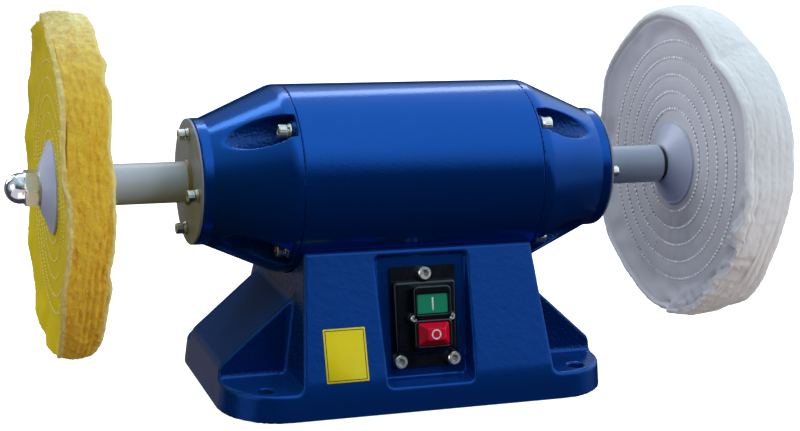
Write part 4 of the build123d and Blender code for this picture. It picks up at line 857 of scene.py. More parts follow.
@dataclass
class TubeEnd:
    """Bearing plate on a bell, the tube that covers the spindle, and the weld between them.

    Attributes:
        gap: length of the part of the plate that is set in.
        step: how far that part is set in.
        root: depth of the bead's root in the plate and the tube.
    """

    side: Side
    collar: float = 158.0
    gap: float = 2.3
    step: float = 1.5
    plate: float = 4.0
    plate_radius: float = 46.3
    tube_radius: float = 15.0
    bore: float = 11.5
    tube_end: float = 223.5
    weld: float = 2.4
    root: float = 0.3
    ripple: tuple[float, int, int] = (0.25, 44, 7)

    def bead(self, station: Array, angle: Array) -> Array:
        """Work out the ripples of the weld: the scales of the bead and its uneven run.

        Args:
            station: places along the spindle in mm.
            angle: angles round it.

        Returns:
            Extra radius in mm.
        """
        proud = np.clip((np.abs(station) - self.collar - self.plate + self.root) / self.weld, 0, 1)
        height, scales, waves = self.ripple
        scaly = np.sin(scales * angle + 2 * np.sin(3 * angle))
        return (1 - proud) * (height * scaly + height * np.sin(waves * angle))

    def build(self) -> None:
        """Make the plate, the tube and the weld."""
        sign, face, word = self.side.value, self.collar + self.plate, self.side.word
        back, outer, inset = self.collar + self.gap, self.plate_radius, self.plate_radius - self.step
        seam, root = face - self.root, self.tube_radius - self.root
        plate = [(self.collar, self.tube_radius, 0.2), (self.collar, inset, 0.2), (back, inset, 0.2),
                 (back, outer, 0.3), (face, outer, 0.6), (face, self.tube_radius, 0.2)]
        tube = [(self.collar, self.bore, 0.2), (self.collar, self.tube_radius, 0.2),
                (self.tube_end, self.tube_radius, 0.6), (self.tube_end, self.bore, 0.4)]
        weld = [(seam, root, 0.1), (seam, self.tube_radius + self.weld, 0.3),
                (face + 0.8, self.tube_radius + self.weld * 0.8, 0.7), (face + self.weld + 0.4, root, 0.3)]
        for name, section, finish, ripple, nodes in (
                ("plate", plate, SHADED_PLATE_ENAMEL, None, (f"{word}_bearing_plate",)),
                ("tube", tube, GREY_ENAMEL, None, (f"{word}_shaft_tube",)),
                ("weld", weld, WELD, self.bead, ())):
            corners = [(sign * station, radius, edge) for station, radius, edge in section]
            seat(turned(f"{word}_{name}", corners, finish, 160, ripple), "frame", "grey_enamel", *nodes)


@dataclass
class WheelClamp:
    """Flanges and nut that clamp a wheel on the spindle.

    Attributes:
        wheel: stations of the wheel's two clamped faces.
        dish: depth of the dish in a clamping face, and inset of its floor and of its mouth from the rim.
        rim: width of a flange's rim, and length and height of the step behind it.
        skirt: how far the dome's foot reaches into the hexagon.
        chamfer: slope of the hexagon's chamfers, across and along.
    """

    side: Side
    shoulder: float = 227.0
    wheel: Size2 = (239.0, 259.6)
    outer_end: float = 268.6
    flange_radius: float = 33.5
    dish: Size3 = (2.5, 7.0, 6.0)
    rim: Size3 = (2.0, 2.2, 1.4)
    nose: float = 15.0
    bore: float = 8.05
    nut: Size3 = (270.0, 279.5, 293.0)
    flats: float = 12.0
    dome: float = 11.0
    skirt: float = 2.0
    chamfer: Size2 = (0.5, 0.87)
    nut_reach: float = 14.0
    cell: float = 0.55

    def flange(self, name: str, face: float, nose: float, *nodes: str) -> None:
        """Make one dished cone flange.

        Args:
            name: name of the piece.
            face: station of its clamping face.
            nose: station of its nose.
            nodes: CAD nodes that it replaces.
        """
        sign, way, radius = self.side.value, math.copysign(1.0, nose - face), self.flange_radius
        dished = face + way * self.dish[0]
        outline = [(dished, self.bore, 0.2), (dished, radius - self.dish[1], 0.8),
                   (face, radius - self.dish[2], 0.4), (face, radius, 0.3),
                   (face + way * self.rim[0], radius, 0.5),
                   (face + way * self.rim[1], radius - self.rim[2], 0.4),
                   (nose, self.nose, 0.8), (nose, self.bore, 0.3)]
        corners = [(sign * station, radius, edge) for station, radius, edge in outline]
        seat(turned(name, corners, GREY_ENAMEL), "spindle", "grey_enamel", *nodes)

    def nut_form(self, x: Array, y: Array, z: Array) -> Array:
        """Measure to the dome nut.

        Args:
            x, y, z: places in mm.

        Returns:
            Distance, negative inside.
        """
        along, up = x * self.side.value, z - SHAFT_HEIGHT
        radius = np.hypot(y, up)
        turn = np.mod(np.arctan2(up, y), math.pi / 3) - math.pi / 6
        base, top, tip = self.nut
        flat = radius * np.cos(turn) - self.flats
        ends = np.maximum(base - along, along - top)
        cone = (radius - self.flats) * self.chamfer[0] + ends * self.chamfer[1]
        hexagon = round_max(round_max(flat, ends, 0.4), cone, 0.4)
        ball = np.hypot(np.maximum(along - tip + self.dome, 0), radius) - self.dome
        return round_min(hexagon, round_max(ball, top - self.skirt - along, 0.3), 0.5)

    def plated(self, middles: Array, _: Array) -> Array:
        """Pick out the faces of the hexagon by their middles."""
        return np.abs(middles[:, 0]) < self.nut[1]

    def build(self) -> None:
        """Make the clamp set."""
        word = self.side.word
        for name, face, nose in zip(("inner", "outer"), self.wheel, (self.shoulder, self.outer_end)):
            self.flange(f"{word}_{name}_cone", face, nose, f"{word}_{name}_flange")
        ends = sorted((self.side.value * self.nut[0], self.side.value * self.nut[2]))
        low, high = ((end, way * self.nut_reach, SHAFT_HEIGHT + way * self.nut_reach)
                     for end, way in zip(ends, (-1, 1)))
        piece = carved(f"{word}_acorn_nut", self.nut_form, low, high, self.cell, CHROME, ZINC, self.plated)
        seat(piece, "spindle", "bright_nut", f"{word}_dome_nut")


def cloud(points: Array, size: float, seed: int, table_size: int = 32) -> Array:
    """Smooth random values between -1 and 1 at points.

    Args:
        points: places in mm, in the last axis.
        size: size of the lumps in mm.
        seed: start of the random numbers.
        table_size: lumps along each axis before they repeat.

    Returns:
        One value for each point.
    """
    table = np.random.default_rng(seed).uniform(-1, 1, (table_size,) * 3)
    scaled = points / size
    cell = np.floor(scaled).astype(int)
    share = scaled - cell
    share = share * share * (3 - 2 * share)
    total = np.zeros(points.shape[:-1])
    for corner in np.ndindex(2, 2, 2):
        weight = np.prod(np.where(corner, share, 1 - share), -1)
        total += weight * table[tuple(np.moveaxis((cell + corner) % table_size, -1, 0))]
    return total


@dataclass(frozen=True)
class Lip:
    """Edge between a face and the rim of a wheel.

    Attributes:
        radius: angle in degrees (0 front, 90 top) and radius in mm, going round.
        half: angle in degrees and distance from the wheel's middle plane in mm, going round.
        roll: angle in degrees and radius of its rounded edge in mm, going round.
    """

    radius: Table
    half: Table
    roll: Table

    def read(self, table: Table, degrees: Array, blur: int = 11) -> Array:
        """Read a table at angles, smoothly round the turn.

        Args:
            table: one of the lip's tables.
            degrees: angles going round.
            blur: half degrees that are smoothed together.

        Returns:
            One value for each angle, in a column.
        """
        knots = np.array(table)
        turns = np.concatenate([knots - (360, 0), knots, knots + (360, 0)])
        dense = np.linspace(-20, 380, 801)
        kernel = np.hanning(blur)
        smooth = np.convolve(np.interp(dense, turns[:, 0], turns[:, 1]), kernel / kernel.sum(), "same")
        return np.interp(degrees, dense, smooth)[:, None]


@dataclass
class ClothWheel:
    """Buffing wheel: cloth discs sewn in rings, splayed towards an uneven rim.

    Attributes:
        near, far: lips of the faces that look to -X and +X.
        plies: place across the rim, depth in mm, width and patchiness of each gap between ply bundles.
        shift: how far the rings lie off the spindle's axis in Y and Z.
        flare: power of the curve from the last ring out to the lip.
        pillow: rise of the cloth between two stitch rings.
        folds: height and size of the soft folds beyond the last ring.
        faded: strength of the painted sheen that makes the top of the rim paler where the top light falls on
            it.
        frayed: middle and half width in degrees of the frayed stretch of the near lip.
        fuzz: loose thread ends for each square metre of rim.
        stitch: pitch, length and width of a stitch.
        slant: turn of a stitch out of its row, in radians.
        hole: length and width of the painted shade dot in the dent between two stitches, where the cloth is
            soft enough to show it.
        creases: angle in degrees and ring index where a thread crosses to the next ring, drawn as a short row
            of painted shade.
        loose_end: Y and Z of the points along a thread that has come loose from the near face.
        dusty: angle and radius of the middle of the polishing dust, its spread and its strength.
        hub: radius of the hub, and width of the step to the sewn part.
        proud: height of the stitches and of the painted shade dots in the dents over the groove.
        strand: pitch, length and width of the beads of a loose thread.
        row_points: points of a stitch ring, of a crossing thread and of a loose thread.
    """

    side: Side
    finish: ClothFinish
    thread: Finish
    lint: Finish
    node: str
    slot: str
    near: Lip
    far: Lip
    plies: tuple[Size4, ...]
    rings: tuple[float, ...]
    shift: Size2
    sewn_half: float
    flare: float
    pillow: float
    groove: float
    folds: Size2
    tuft: float
    faded: float
    ragged: float
    frayed: Size2
    waves: float
    fuzz: float
    stitch: Size3
    slant: float
    hole: Size2 | None
    creases: tuple[tuple[float, int], ...]
    loose_end: Table
    dusty: Size4
    mirrored: bool
    seed: int
    middle: float = 249.3
    hub_half: float = 10.3
    hub: Size2 = (35.0, 5.0)
    bore: float = 8.2
    groove_width: float = 1.7
    shift_ends: Size4 = (30.0, 10.0, 16.0, 14.0)
    crown: float = 1.4
    around: int = 500
    across: tuple[int, ...] = (4, 42, 18, 4, 20, 34)
    proud: Size2 = (0.85, 0.05)
    fibre: float = 2.6
    strand: Size3 = (0.5, 0.9, 0.7)
    strand_lift: float = 0.3
    row_points: tuple[int, int, int] = (240, 12, 60)

    def half(self, radius: Array) -> Array:
        """Work out the half thickness of the sewn part: flat hub, then pillows between the rings.

        Args:
            radius: radii in mm.

        Returns:
            Half thickness at each radius.
        """
        pitch = self.rings[1] - self.rings[0]
        step = np.clip((radius - self.hub[0]) / self.hub[1], 0, 1)
        thick = self.hub_half + (self.sewn_half - self.hub_half) * step
        for place in self.rings:
            thick = thick - self.groove * np.exp(-((radius - place) / self.groove_width) ** 2)
        between = np.clip((radius - self.rings[0]) / pitch, 0, len(self.rings) - 1)
        return thick + self.pillow * np.abs(np.sin(math.pi * between))

    def place(self, radius: Array, offset: Array, angles: Array) -> Array:
        """Put points in the machine's frame.

        Args:
            radius: distances from the spindle's axis.
            offset: distances from the wheel's middle plane.
            angles: angles from the front over the top, in radians.

        Returns:
            The points.
        """
        start, start_width, end, end_width = self.shift_ends
        aside = np.clip((radius - start) / start_width, 0, 1)
        aside = aside * np.clip((self.rings[-1] + end - radius) / end_width, 0, 1)
        return np.stack([self.side.value * self.middle + offset,
                         self.shift[0] * aside - radius * np.cos(angles),
                         SHAFT_HEIGHT + self.shift[1] * aside + radius * np.sin(angles)], -1)

    def face(self, lip: Lip, way: int, degrees: Array) -> list[Array]:
        """Lay out one face from the bore to its lip.

        Args:
            lip: edge of the face.
            way: sign of X that the face looks to.
            degrees: steps round the wheel.

        Returns:
            Radius, offset, share of rim, and share of lip at each point.
        """
        edge, lip_half, roll = (lip.read(table, degrees) for table in (lip.radius, lip.half, lip.roll))
        hub_points, sewn_points, flare_points, lip_points = self.across[:4]
        sewn_end = self.rings[-1] + 2.0
        base = np.concatenate([np.linspace(self.bore, self.hub[0], hub_points),
                               np.linspace(self.hub[0] + 1, sewn_end, sewn_points)])
        sewn = np.repeat(base[None], self.around, 0)
        share = 1 - (1 - np.linspace(0, 1, flare_points + 1)[None, 1:]) ** 1.5
        outer = sewn_end + (edge - roll - sewn_end) * share
        thick = self.half(sewn_end) + (lip_half - self.half(sewn_end)) * share ** self.flare
        spots = self.place(outer, 0 * outer, np.radians(degrees)[:, None])
        soft = cloud(spots, self.folds[1], self.seed + way)
        thick = thick + self.folds[0] * soft * np.sin(math.pi * np.clip(share * 1.1, 0, 1))
        # A wide roll is a hem: a crease runs inside it, and it shows the colour of the rim
        hem = np.maximum(0.7 * roll - 1.0, 0)
        inside = edge - roll - outer
        thick = thick - 0.4 * hem * np.exp(-((inside - hem) / 1.1) ** 2)
        turn = np.linspace(0, 0.5, lip_points + 1)[None, 1:] * math.pi
        curl = [edge - roll + roll * np.sin(turn), lip_half - roll + roll * np.cos(turn)]
        radius = np.concatenate([sewn, outer, curl[0]], 1)
        offset = np.concatenate([self.half(sewn), thick, curl[1]], 1) * way
        from_end = np.repeat((np.arange(radius.shape[1]) - radius.shape[1])[None], self.around, 0)
        brim = 0.8 * np.minimum(hem, 1) * np.clip(1.3 - inside / (hem + 0.1), 0, 1)
        rim = np.maximum(np.clip((from_end + lip_points + 0.5) / lip_points, 0, 1),
                         np.concatenate([0 * sewn, brim, brim[:, -1:] + 0 * curl[0]], 1))
        return [radius, offset, rim, np.clip(1 - np.abs(from_end + 2.5) / 3.5, 0, 1)]

    def tread(self, near: list[Array], far: list[Array], angles: Array) -> tuple[list[Array], Array]:
        """Lay out the rim between the two lips.

        Args:
            near: layers of the near face.
            far: layers of the far face.
            angles: steps round the wheel, in radians.

        Returns:
            Radius, offset, share of rim and share of lip with the painted top sheen at each point, and the
            painted shade of the gaps there.
        """
        near_points, far_points = self.across[4:]
        share = np.concatenate([np.linspace(0, 0.2, near_points + 1)[1:],
                                np.linspace(0.2, 1, far_points + 2)[1:-1]])[None]
        radius, across = (a[:, -1:] + (b[:, -1:] - a[:, -1:]) * share for a, b in zip(near[:2], far[:2]))
        radius = radius + self.crown * np.sin(math.pi * share)
        spots = self.place(radius, across, angles)
        drawn = spots * (0.2, 1, 1)
        wander = share + 0.03 * cloud(drawn, 22.0, self.seed) + 0.012 * np.sin(4 * angles + self.seed)
        # The gaps between the plies open where the wheel hangs down and close where it is pressed together
        gap, valley = np.zeros_like(radius), np.zeros_like(radius)
        slump = 0.85 - 0.45 * np.sin(angles)
        for middle, depth, width, patchy in self.plies:
            notch = np.exp(-((wander - middle) / width) ** 2)
            run = cloud(drawn, 30.0, int(self.seed + 100 * middle))
            notch = notch * np.clip(1 - 1.2 * patchy + 2.2 * patchy * run, 0, 1.3) * slump
            gap = gap + depth * notch
            # Painted shade in the gaps, stronger where they are deeper
            valley = np.maximum(valley, notch * min(1.0, depth / 1.6))
        fluff = self.tuft * (cloud(spots, 2.6, self.seed + 5) + 0.8 * cloud(spots, 7.0, self.seed + 6))
        # The bound outer plies are paler, in small flecks, and the top of the wheel is painted paler as a
        # sheen where the top light falls
        bound = np.clip((self.plies[0][0] - wander) / 0.02, 0, 1)
        bound = bound + 0.6 * np.clip((wander - 0.93) / 0.05, 0, 1)
        # Painted sheen: the top of the rim is made paler, standing in for the top light
        top = np.exp(-((np.degrees(angles) - 92) / 32) ** 2)
        pale = np.maximum(0.55 * bound, self.faded * top) * (0.85 + 0.6 * cloud(spots, 1.7, self.seed + 3))
        return [radius - gap + fluff, across, np.ones_like(radius), np.clip(pale, 0, 1)], valley

    def wear(self, points: Array, degrees: Array, layers: list[Array]) -> Array:
        """Roughen the lips and let their frayed stretch sway.

        Args:
            points: points of the wheel, which are moved.
            degrees: steps round the wheel.
            layers: radius, offset, share of rim and share of lip at each point.

        Returns:
            How far the lip has frayed at each point.
        """
        radius, offset, on_rim, on_lip = layers
        angles = np.radians(degrees)[:, None]
        aside = np.abs((degrees - self.frayed[0] + 180) % 360 - 180)[:, None]
        torn = np.clip(1.3 - aside / self.frayed[1], 0, 1) * (offset < 0)
        ragged = on_lip * (self.ragged + 1.1 * torn)
        points[..., 0] += ragged * cloud(points, 3.0, self.seed + 7)
        outward = np.stack([0 * radius, -np.cos(angles) + 0 * radius, np.sin(angles) + 0 * radius], -1)
        points += (ragged * cloud(points, 2.7, self.seed + 8))[..., None] * outward
        beyond = np.clip((radius - self.rings[-1] - 6) / 14, 0, 1)
        loose = self.waves * torn * beyond * (1 - 0.75 * on_rim ** 2)
        drawn = points * (0.1, 1, 1)
        sway = cloud(drawn, 13.0, self.seed + 9) + 0.6 * cloud(drawn, 6.0, self.seed)
        points[..., 0] += loose * sway
        points -= (0.7 * loose * np.abs(sway))[..., None] * outward
        return torn

    def build(self) -> None:
        """Make the wheel, its stitches and its loose threads."""
        degrees = np.linspace(0, 360, self.around, endpoint=False)
        angles = np.radians(degrees)[:, None]
        near, far = self.face(self.near, -1, degrees), self.face(self.far, 1, degrees)
        rim, valley = self.tread(near, far, angles)
        layers = [np.concatenate([a, b, c[:, ::-1]], 1) for a, b, c in zip(near, rim, far)]
        radius, offset, on_rim, on_lip = layers
        blank = np.zeros_like(near[0])
        points = self.place(radius, offset, angles)
        torn = self.wear(points, degrees, layers)
        faces = quads(*points.shape[:2])[:, [0, 3, 2, 1]].tolist()
        piece = mesh_piece(f"{self.node}_cloth", points.reshape(-1, 3), faces, self.finish)
        angle, away, spread, strength = self.dusty
        heart = self.place(np.array([away]), np.array([0.0]), np.radians([angle]))[0]
        gone = (((points - heart) ** 2)[..., 1:]).sum(-1)
        # The lip mark carries the painted top sheen too, and the pale fuzz grows denser with it
        marks = {"rim": on_rim, "valley": np.concatenate([blank, valley, blank], 1), "lip": on_lip,
                 "fray": np.clip(0.2 * on_rim + on_lip, 0, 1) * (1 + 24 * torn * on_lip),
                 "dust": strength * np.exp(-gone / spread ** 2) * (offset < 0)}
        for name, values in marks.items():
            piece.data.attributes.new(name, "FLOAT", "POINT").data.foreach_set("value", values.ravel())
        fluffy = shown(f"{self.node}_fuzz", piece.data.copy())
        grow(fluffy, fuzz_tree(), {"Density": self.fuzz, "Length": self.fibre * MM, "Seed": self.seed,
                                   "Thread": self.lint.material()})
        piece.visible_glossy = self.mirrored
        seat(piece, "spindle", self.slot, self.node)
        seat(fluffy, "spindle", self.slot)
        self.sew("stitches", self.thread, self.proud[0], 0.0, self.stitch[1:])
        # Painted shade: grey dots in the dents between the stitches and short grey rows where a thread
        # crosses, standing in for their shadows
        if self.hole:
            self.sew("needle_holes", GREY_SHADOW, self.proud[1], 0.5, self.hole, self.creases)
        if self.loose_end:
            self.trail(points[:, :blank.shape[1]].reshape(-1, 3))

    def trail(self, cloth: Array) -> None:
        """Lay the loose thread on the near face.

        Args:
            cloth: points of that face.
        """
        knots, count = np.array(self.loose_end), self.row_points[2]
        steps = np.linspace(0, len(knots) - 1, count)
        way = np.stack([np.interp(steps, np.arange(len(knots)), column) for column in knots.T], 1)
        under = [int(np.argmin(((cloth[:, 1:] - spot) ** 2).sum(1))) for spot in way]
        laid = np.column_stack([cloth[under, 0] - self.strand_lift, way])
        self.lay("loose_end", laid, [(i, i + 1) for i in range(count - 1)], self.thread, self.strand, 0.0)

    def sew(self, name: str, finish: Finish, proud: float, start: float, size: Size2,
            crossings: tuple[tuple[float, int], ...] = ()) -> None:
        """Lay rows of stitches, or of painted shade dots in the dents between them, along the rings on both
        faces.

        Args:
            name, finish: end of the piece's name, and its finish.
            proud: height above the groove in mm.
            start: shift along the row as a share of the pitch.
            size: length and width of one in mm.
            crossings: angle in degrees and ring index of short rows that cross to the next ring, painted as
                shade with the dents.
        """
        points, edges, pitch = [], [], self.stitch[0]
        count, short, _ = self.row_points
        for way in (-1, 1):
            for ring in self.rings:
                depth = float(self.half(np.array([ring]))[0]) + proud
                turns = np.linspace(0, 2 * math.pi, count + 1)[:-1] + start * pitch / ring
                first = len(points)
                points.extend(self.place(np.full(count, ring), np.full(count, way * depth), turns))
                edges.extend((first + i, first + (i + 1) % count) for i in range(count))
        for degrees, index in crossings:
            radii = np.linspace(self.rings[index] + 1, self.rings[index + 1] - 1, short)
            first = len(points)
            turns = np.radians(np.linspace(degrees, degrees - 3, short))
            points.extend(self.place(radii, -self.half(radii) - proud, turns))
            edges.extend((first + i, first + i + 1) for i in range(short - 1))
        self.lay(name, np.array(points), edges, finish, (pitch, *size), self.slant)

    def lay(self, name: str, points: Array, edges: list, finish: Finish, stitch: Size3, slant: float) -> None:
        """Lay beads of thread along rows of points.

        Args:
            name, finish: end of the piece's name, and its finish.
            points: points of the rows in mm.
            edges: pairs of points that follow each other.
            stitch: pitch, length and width of a bead in mm.
            slant: turn of a bead out of its row, in radians.
        """
        rows = bpy.data.meshes.new(f"{self.node}_{name}")
        rows.from_pydata((points * MM).tolist(), edges, [])
        piece = shown(rows.name, rows)
        sizes = {label: value * MM for label, value in zip(("Pitch", "Length", "Width"), stitch)}
        grow(piece, stitch_tree(), sizes | {"Slant": slant, "Seed": self.seed, "Thread": finish.material()})
        seat(piece, "spindle", self.slot)


def socketed(name: str, **inputs: str) -> tuple[Tree, dict[str, Socket]]:
    """Start a geometry tree with named inputs.

    Args:
        name: name of the tree.
        inputs: kind of each input after the geometry.

    Returns:
        The tree, and what its inputs give by their names.
    """
    tree = bpy.data.node_groups.new(name, "GeometryNodeTree")
    for label, kind in ({"Geometry": "Geometry"} | inputs).items():
        tree.interface.new_socket(label, in_out="INPUT", socket_type=f"NodeSocket{kind}")
    tree.interface.new_socket("Geometry", in_out="OUTPUT", socket_type="NodeSocketGeometry")
    return tree, {socket.name: socket for socket in add(tree, "NodeGroupInput").outputs}


def close_tree(tree: Tree, material: Socket, **inputs: Node | Socket) -> None:
    """End a geometry tree with a shape on each point, as plain faces with their material.

    Args:
        tree: tree to end.
        material: socket that gives the material.
        inputs: points, shape, and its turn and scale.
    """
    placed = add(tree, "GeometryNodeInstanceOnPoints", inputs)
    real = add(tree, "GeometryNodeRealizeInstances", {"Geometry": placed})
    made = add(tree, "GeometryNodeSetMaterial", {"Geometry": real, "Material": material})
    add(tree, "NodeGroupOutput", {"Geometry": made})


@cache
def stitch_tree() -> Tree:
    """Build the tree that lays stitches along rows of edges.

    Returns:
        The tree, made once.
    """
    tree, given = socketed("stitch_rows", Pitch="Float", Length="Float", Width="Float", Slant="Float",
                           Seed="Int", Thread="Material")
    rows = add(tree, "GeometryNodeMeshToCurve", {"Mesh": given["Geometry"]})
    steps = add(tree, "GeometryNodeResampleCurve", {"Curve": rows, "Length": given["Pitch"]}, mode="LENGTH")
    flat_width = add(tree, "ShaderNodeMath", {0: given["Width"], 1: 0.6}, operation="MULTIPLY")
    size = add(tree, "ShaderNodeCombineXYZ", {0: given["Length"], 1: given["Width"], 2: flat_width})
    bead = add(tree, "GeometryNodeMeshUVSphere", {"Segments": 6, "Rings": 4, "Radius": 0.5})
    thread = add(tree, "GeometryNodeTransform", {"Geometry": bead, "Scale": size})
    tangent = add(tree, "GeometryNodeInputTangent")
    lay = add(tree, "FunctionNodeAlignRotationToVector", {"Vector": tangent}, axis="X")
    flat = add(tree, "FunctionNodeAlignRotationToVector", {
        "Rotation": lay, "Vector": (1.0, 0.0, 0.0)}, axis="Z", pivot_axis="X")
    turn = add(tree, "FunctionNodeAxisAngleToRotation", {"Axis": (0.0, 0.0, 1.0), "Angle": given["Slant"]})
    slant = add(tree, "FunctionNodeRotateRotation", {
        "Rotation": flat, "Rotate By": turn}, rotation_space="LOCAL")
    vary = add(tree, "FunctionNodeRandomValue", {"Min_001": 0.8, "Max_001": 1.15, "Seed": given["Seed"]})
    close_tree(tree, given["Thread"], Points=steps, Instance=thread, Rotation=slant, Scale=vary.outputs[1])
    return tree


@cache
def fuzz_tree() -> Tree:
    """Build the tree that grows curled thread ends on a cut rim.

    Returns:
        The tree, made once.
    """
    tree, given = socketed("loose_fuzz", Density="Float", Length="Float", Seed="Int", Thread="Material")
    fray = add(tree, "GeometryNodeInputNamedAttribute", {"Name": "fray"}, data_type="FLOAT")
    dense = add(tree, "ShaderNodeMath", {0: fray, 1: given["Density"]}, operation="MULTIPLY")
    spread = add(tree, "GeometryNodeDistributePointsOnFaces", {
        "Mesh": given["Geometry"], "Density": dense, "Seed": given["Seed"]})
    curl = add(tree, "GeometryNodeCurveQuadraticBezier", {
        "Resolution": 3, "Start": (0.0, 0.0, -0.1), "Middle": (0.1, 0.0, 0.6), "End": (0.8, 0.0, 0.7)})
    section = add(tree, "GeometryNodeCurvePrimitiveCircle", {"Resolution": 3, "Radius": 0.05})
    fibre = add(tree, "GeometryNodeCurveToMesh", {"Curve": curl, "Profile Curve": section})
    tilt = add(tree, "FunctionNodeRandomValue", {
        "Min": (-0.7, -0.7, 0.0), "Max": (0.7, 0.7, 6.28), "Seed": given["Seed"]}, data_type="FLOAT_VECTOR")
    turn = add(tree, "FunctionNodeEulerToRotation", {0: tilt})
    stand = add(tree, "FunctionNodeRotateRotation", {
        "Rotation": spread.outputs["Rotation"], "Rotate By": turn}, rotation_space="LOCAL")
    vary = add(tree, "FunctionNodeRandomValue", {"Min_001": 0.35, "Max_001": 1.0, "Seed": given["Seed"]})
    length = add(tree, "ShaderNodeMath", {0: vary.outputs[1], 1: given["Length"]}, operation="MULTIPLY")
    close_tree(tree, given["Thread"], Points=spread, Instance=fibre, Rotation=stand, Scale=length)
    return tree


@cache
def fastener_tree() -> Tree:
    """Build the tree that sets a fastener on each point, turned at random about its axis.

    Returns:
        The tree, made once.
    """
    tree, given = socketed("fastener_set", Fastener="Object", Axis="Vector", Seed="Int", Plating="Material")
    shape = add(tree, "GeometryNodeObjectInfo", {"Object": given["Fastener"]})
    stand = add(tree, "FunctionNodeAlignRotationToVector", {"Vector": given["Axis"]}, axis="Z")
    spin = add(tree, "FunctionNodeRandomValue", {"Min_001": 0.0, "Max_001": math.pi, "Seed": given["Seed"]})
    turn = add(tree, "FunctionNodeAxisAngleToRotation", {"Axis": (0.0, 0.0, 1.0), "Angle": spin.outputs[1]})
    both = add(tree, "FunctionNodeRotateRotation", {
        "Rotation": stand, "Rotate By": turn}, rotation_space="LOCAL")
    close_tree(tree, given["Plating"], Points=given["Geometry"], Instance=shape.outputs["Geometry"],
               Rotation=both)
    return tree


def grow(piece: Object, tree: Tree, values: dict) -> None:
    """Run a geometry tree on an object and keep its result as a plain mesh.

    Args:
        piece: object that gives the points or rows.
        tree: geometry tree.
        values: input name to value.
    """
    modifier = piece.modifiers.new(tree.name, "NODES")
    modifier.node_group = tree
    for item in tree.interface.items_tree:
        if item.in_out == "INPUT" and item.name in values:
            modifier[item.identifier] = values[item.name]
    bpy.context.view_layer.update()
    graph = bpy.context.evaluated_depsgraph_get()
    mesh = bpy.data.meshes.new_from_object(piece.evaluated_get(graph))
    piece.modifiers.remove(modifier)
    piece.data = mesh
    mesh.shade_smooth()


@dataclass
class CapScrew:
    """Socket cap screw with a spring washer and a flat washer under its head.

    Attributes:
        head: radius of the head as a share of the size.
        knurl: height of the ridges round the head as a share of the size, and their number.
        socket: half width of the key's socket and level of its floor, as shares of the size.
        band: middle radius and half width of the spring washer, as shares of the size.
    """

    size: float
    stack: float = 3.0
    shank: float = 4.0
    head: float = 0.825
    knurl: tuple[float, int] = (0.02, 28)
    socket: Size2 = (0.415, 0.45)
    washer: float = 0.72
    coil: Size3 = (2.2, 0.7, 0.25)
    band: Size2 = (0.69, 0.19)
    slit: float = 0.6

    def form(self, x: Array, y: Array, z: Array) -> Array:
        """Measure to the screw standing on the plane z = 0.

        Args:
            x, y, z: places in mm.

        Returns:
            Distance, negative inside.
        """
        radius, turn = np.hypot(x, y), np.arctan2(y, x)
        knurl = self.knurl[0] * self.size * np.cos(self.knurl[1] * turn)
        head = round_max(radius - self.head * self.size - knurl, z - self.stack - self.size, 0.12 * self.size)
        head = round_max(head, self.stack - z, 0.1)
        key = np.mod(turn + math.pi / 6, math.pi / 3) - math.pi / 6
        socket = np.maximum(radius * np.cos(key) - self.socket[0] * self.size,
                            self.stack + self.socket[1] * self.size - z)
        form = round_max(head, -socket, 0.15)
        shank = np.maximum.reduce([radius - self.size / 2, -z - self.shank, z - self.stack - 0.2])
        flat = round_max(radius - self.size, np.abs(z - self.washer) - self.washer, 0.25)
        middle, half, rise = self.coil
        lift = z - middle - rise * turn / math.pi
        spring = round_max(np.abs(radius - self.band[0] * self.size) - self.band[1] * self.size,
                           np.abs(lift) - half, 0.2)
        spring = np.maximum(spring, self.slit - np.abs(np.where(x < 0, y, 9.0)))
        return np.minimum.reduce([form, shank, flat, spring])

    def build(self) -> Object:
        """Make the screw's shape and keep it out of the scene.

        Returns:
            The shape.
        """
        reach = self.size + 0.5
        low, high = (-reach, -reach, -self.shank), (reach, reach, self.size + self.stack)
        piece = carved(f"cap_screw_{self.size:g}", self.form, low, high, self.size / 12, ZINC)
        bpy.context.scene.collection.objects.unlink(piece)
        return piece


@dataclass
class Fasteners:
    """The cap screws on the bells and on the bearing plates.

    Attributes:
        tie: radius of the circle of a bell's screws, and the station where they sit.
        plate: the same for a bearing plate.
        turns: angle in degrees of the first screw of a bell, and of the right plate, which the left mirrors.
    """

    tie: Size2 = (61.5, 97.5)
    plate: Size2 = (35.5, 162.0)
    turns: Size2 = (45.0, -4.5)
    sizes: Size2 = (6.0, 5.0)

    def build(self) -> None:
        """Set all the screws."""
        tie_screw, plate_screw = (CapScrew(size).build() for size in self.sizes)
        for side in Side:
            for kind, name, screw, (radius, station), turn, seed in (
                    ("tie", "bell", tie_screw, self.tie, self.turns[0], 4),
                    ("plate", "face", plate_screw, self.plate, self.turns[1] * side.value, 8)):
                angles = np.radians(turn + 90 * np.arange(4))
                points = np.stack([np.full(4, side.value * station), radius * np.cos(angles),
                                   SHAFT_HEIGHT + radius * np.sin(angles)], 1)
                screws = mesh_piece(f"{side.word}_{name}_screws", points, [], ZINC)
                grow(screws, fastener_tree(), {
                    "Axis": (float(side.value), 0.0, 0.0), "Plating": ZINC.material(), "Fastener": screw,
                    "Seed": seed + side.value})
                shared = (f"{kind}_washers", f"{kind}_spring_washers") if side is Side.LEFT else ()
                seat(screws, "frame", "zinc_steel", f"{side.word}_{kind}_screws", *shared)


def rounded(half_x: float, half_y: float, radius: float, steps: int = 6) -> Array:
    """Outline of a rectangle with round corners.

    Args:
        half_x, half_y: half of its width and of its height.
        radius: corner radius.
        steps: points in each corner.

    Returns:
        Points in order, anticlockwise.
    """
    corners = []
    for number, (sx, sy) in enumerate(((1, 1), (-1, 1), (-1, -1), (1, -1))):
        angles = np.linspace(0, math.pi / 2, steps) + number * math.pi / 2
        corners.append(np.stack([sx * (half_x - radius) + radius * np.cos(angles),
                                 sy * (half_y - radius) + radius * np.sin(angles)], 1))
    return np.concatenate(corners)


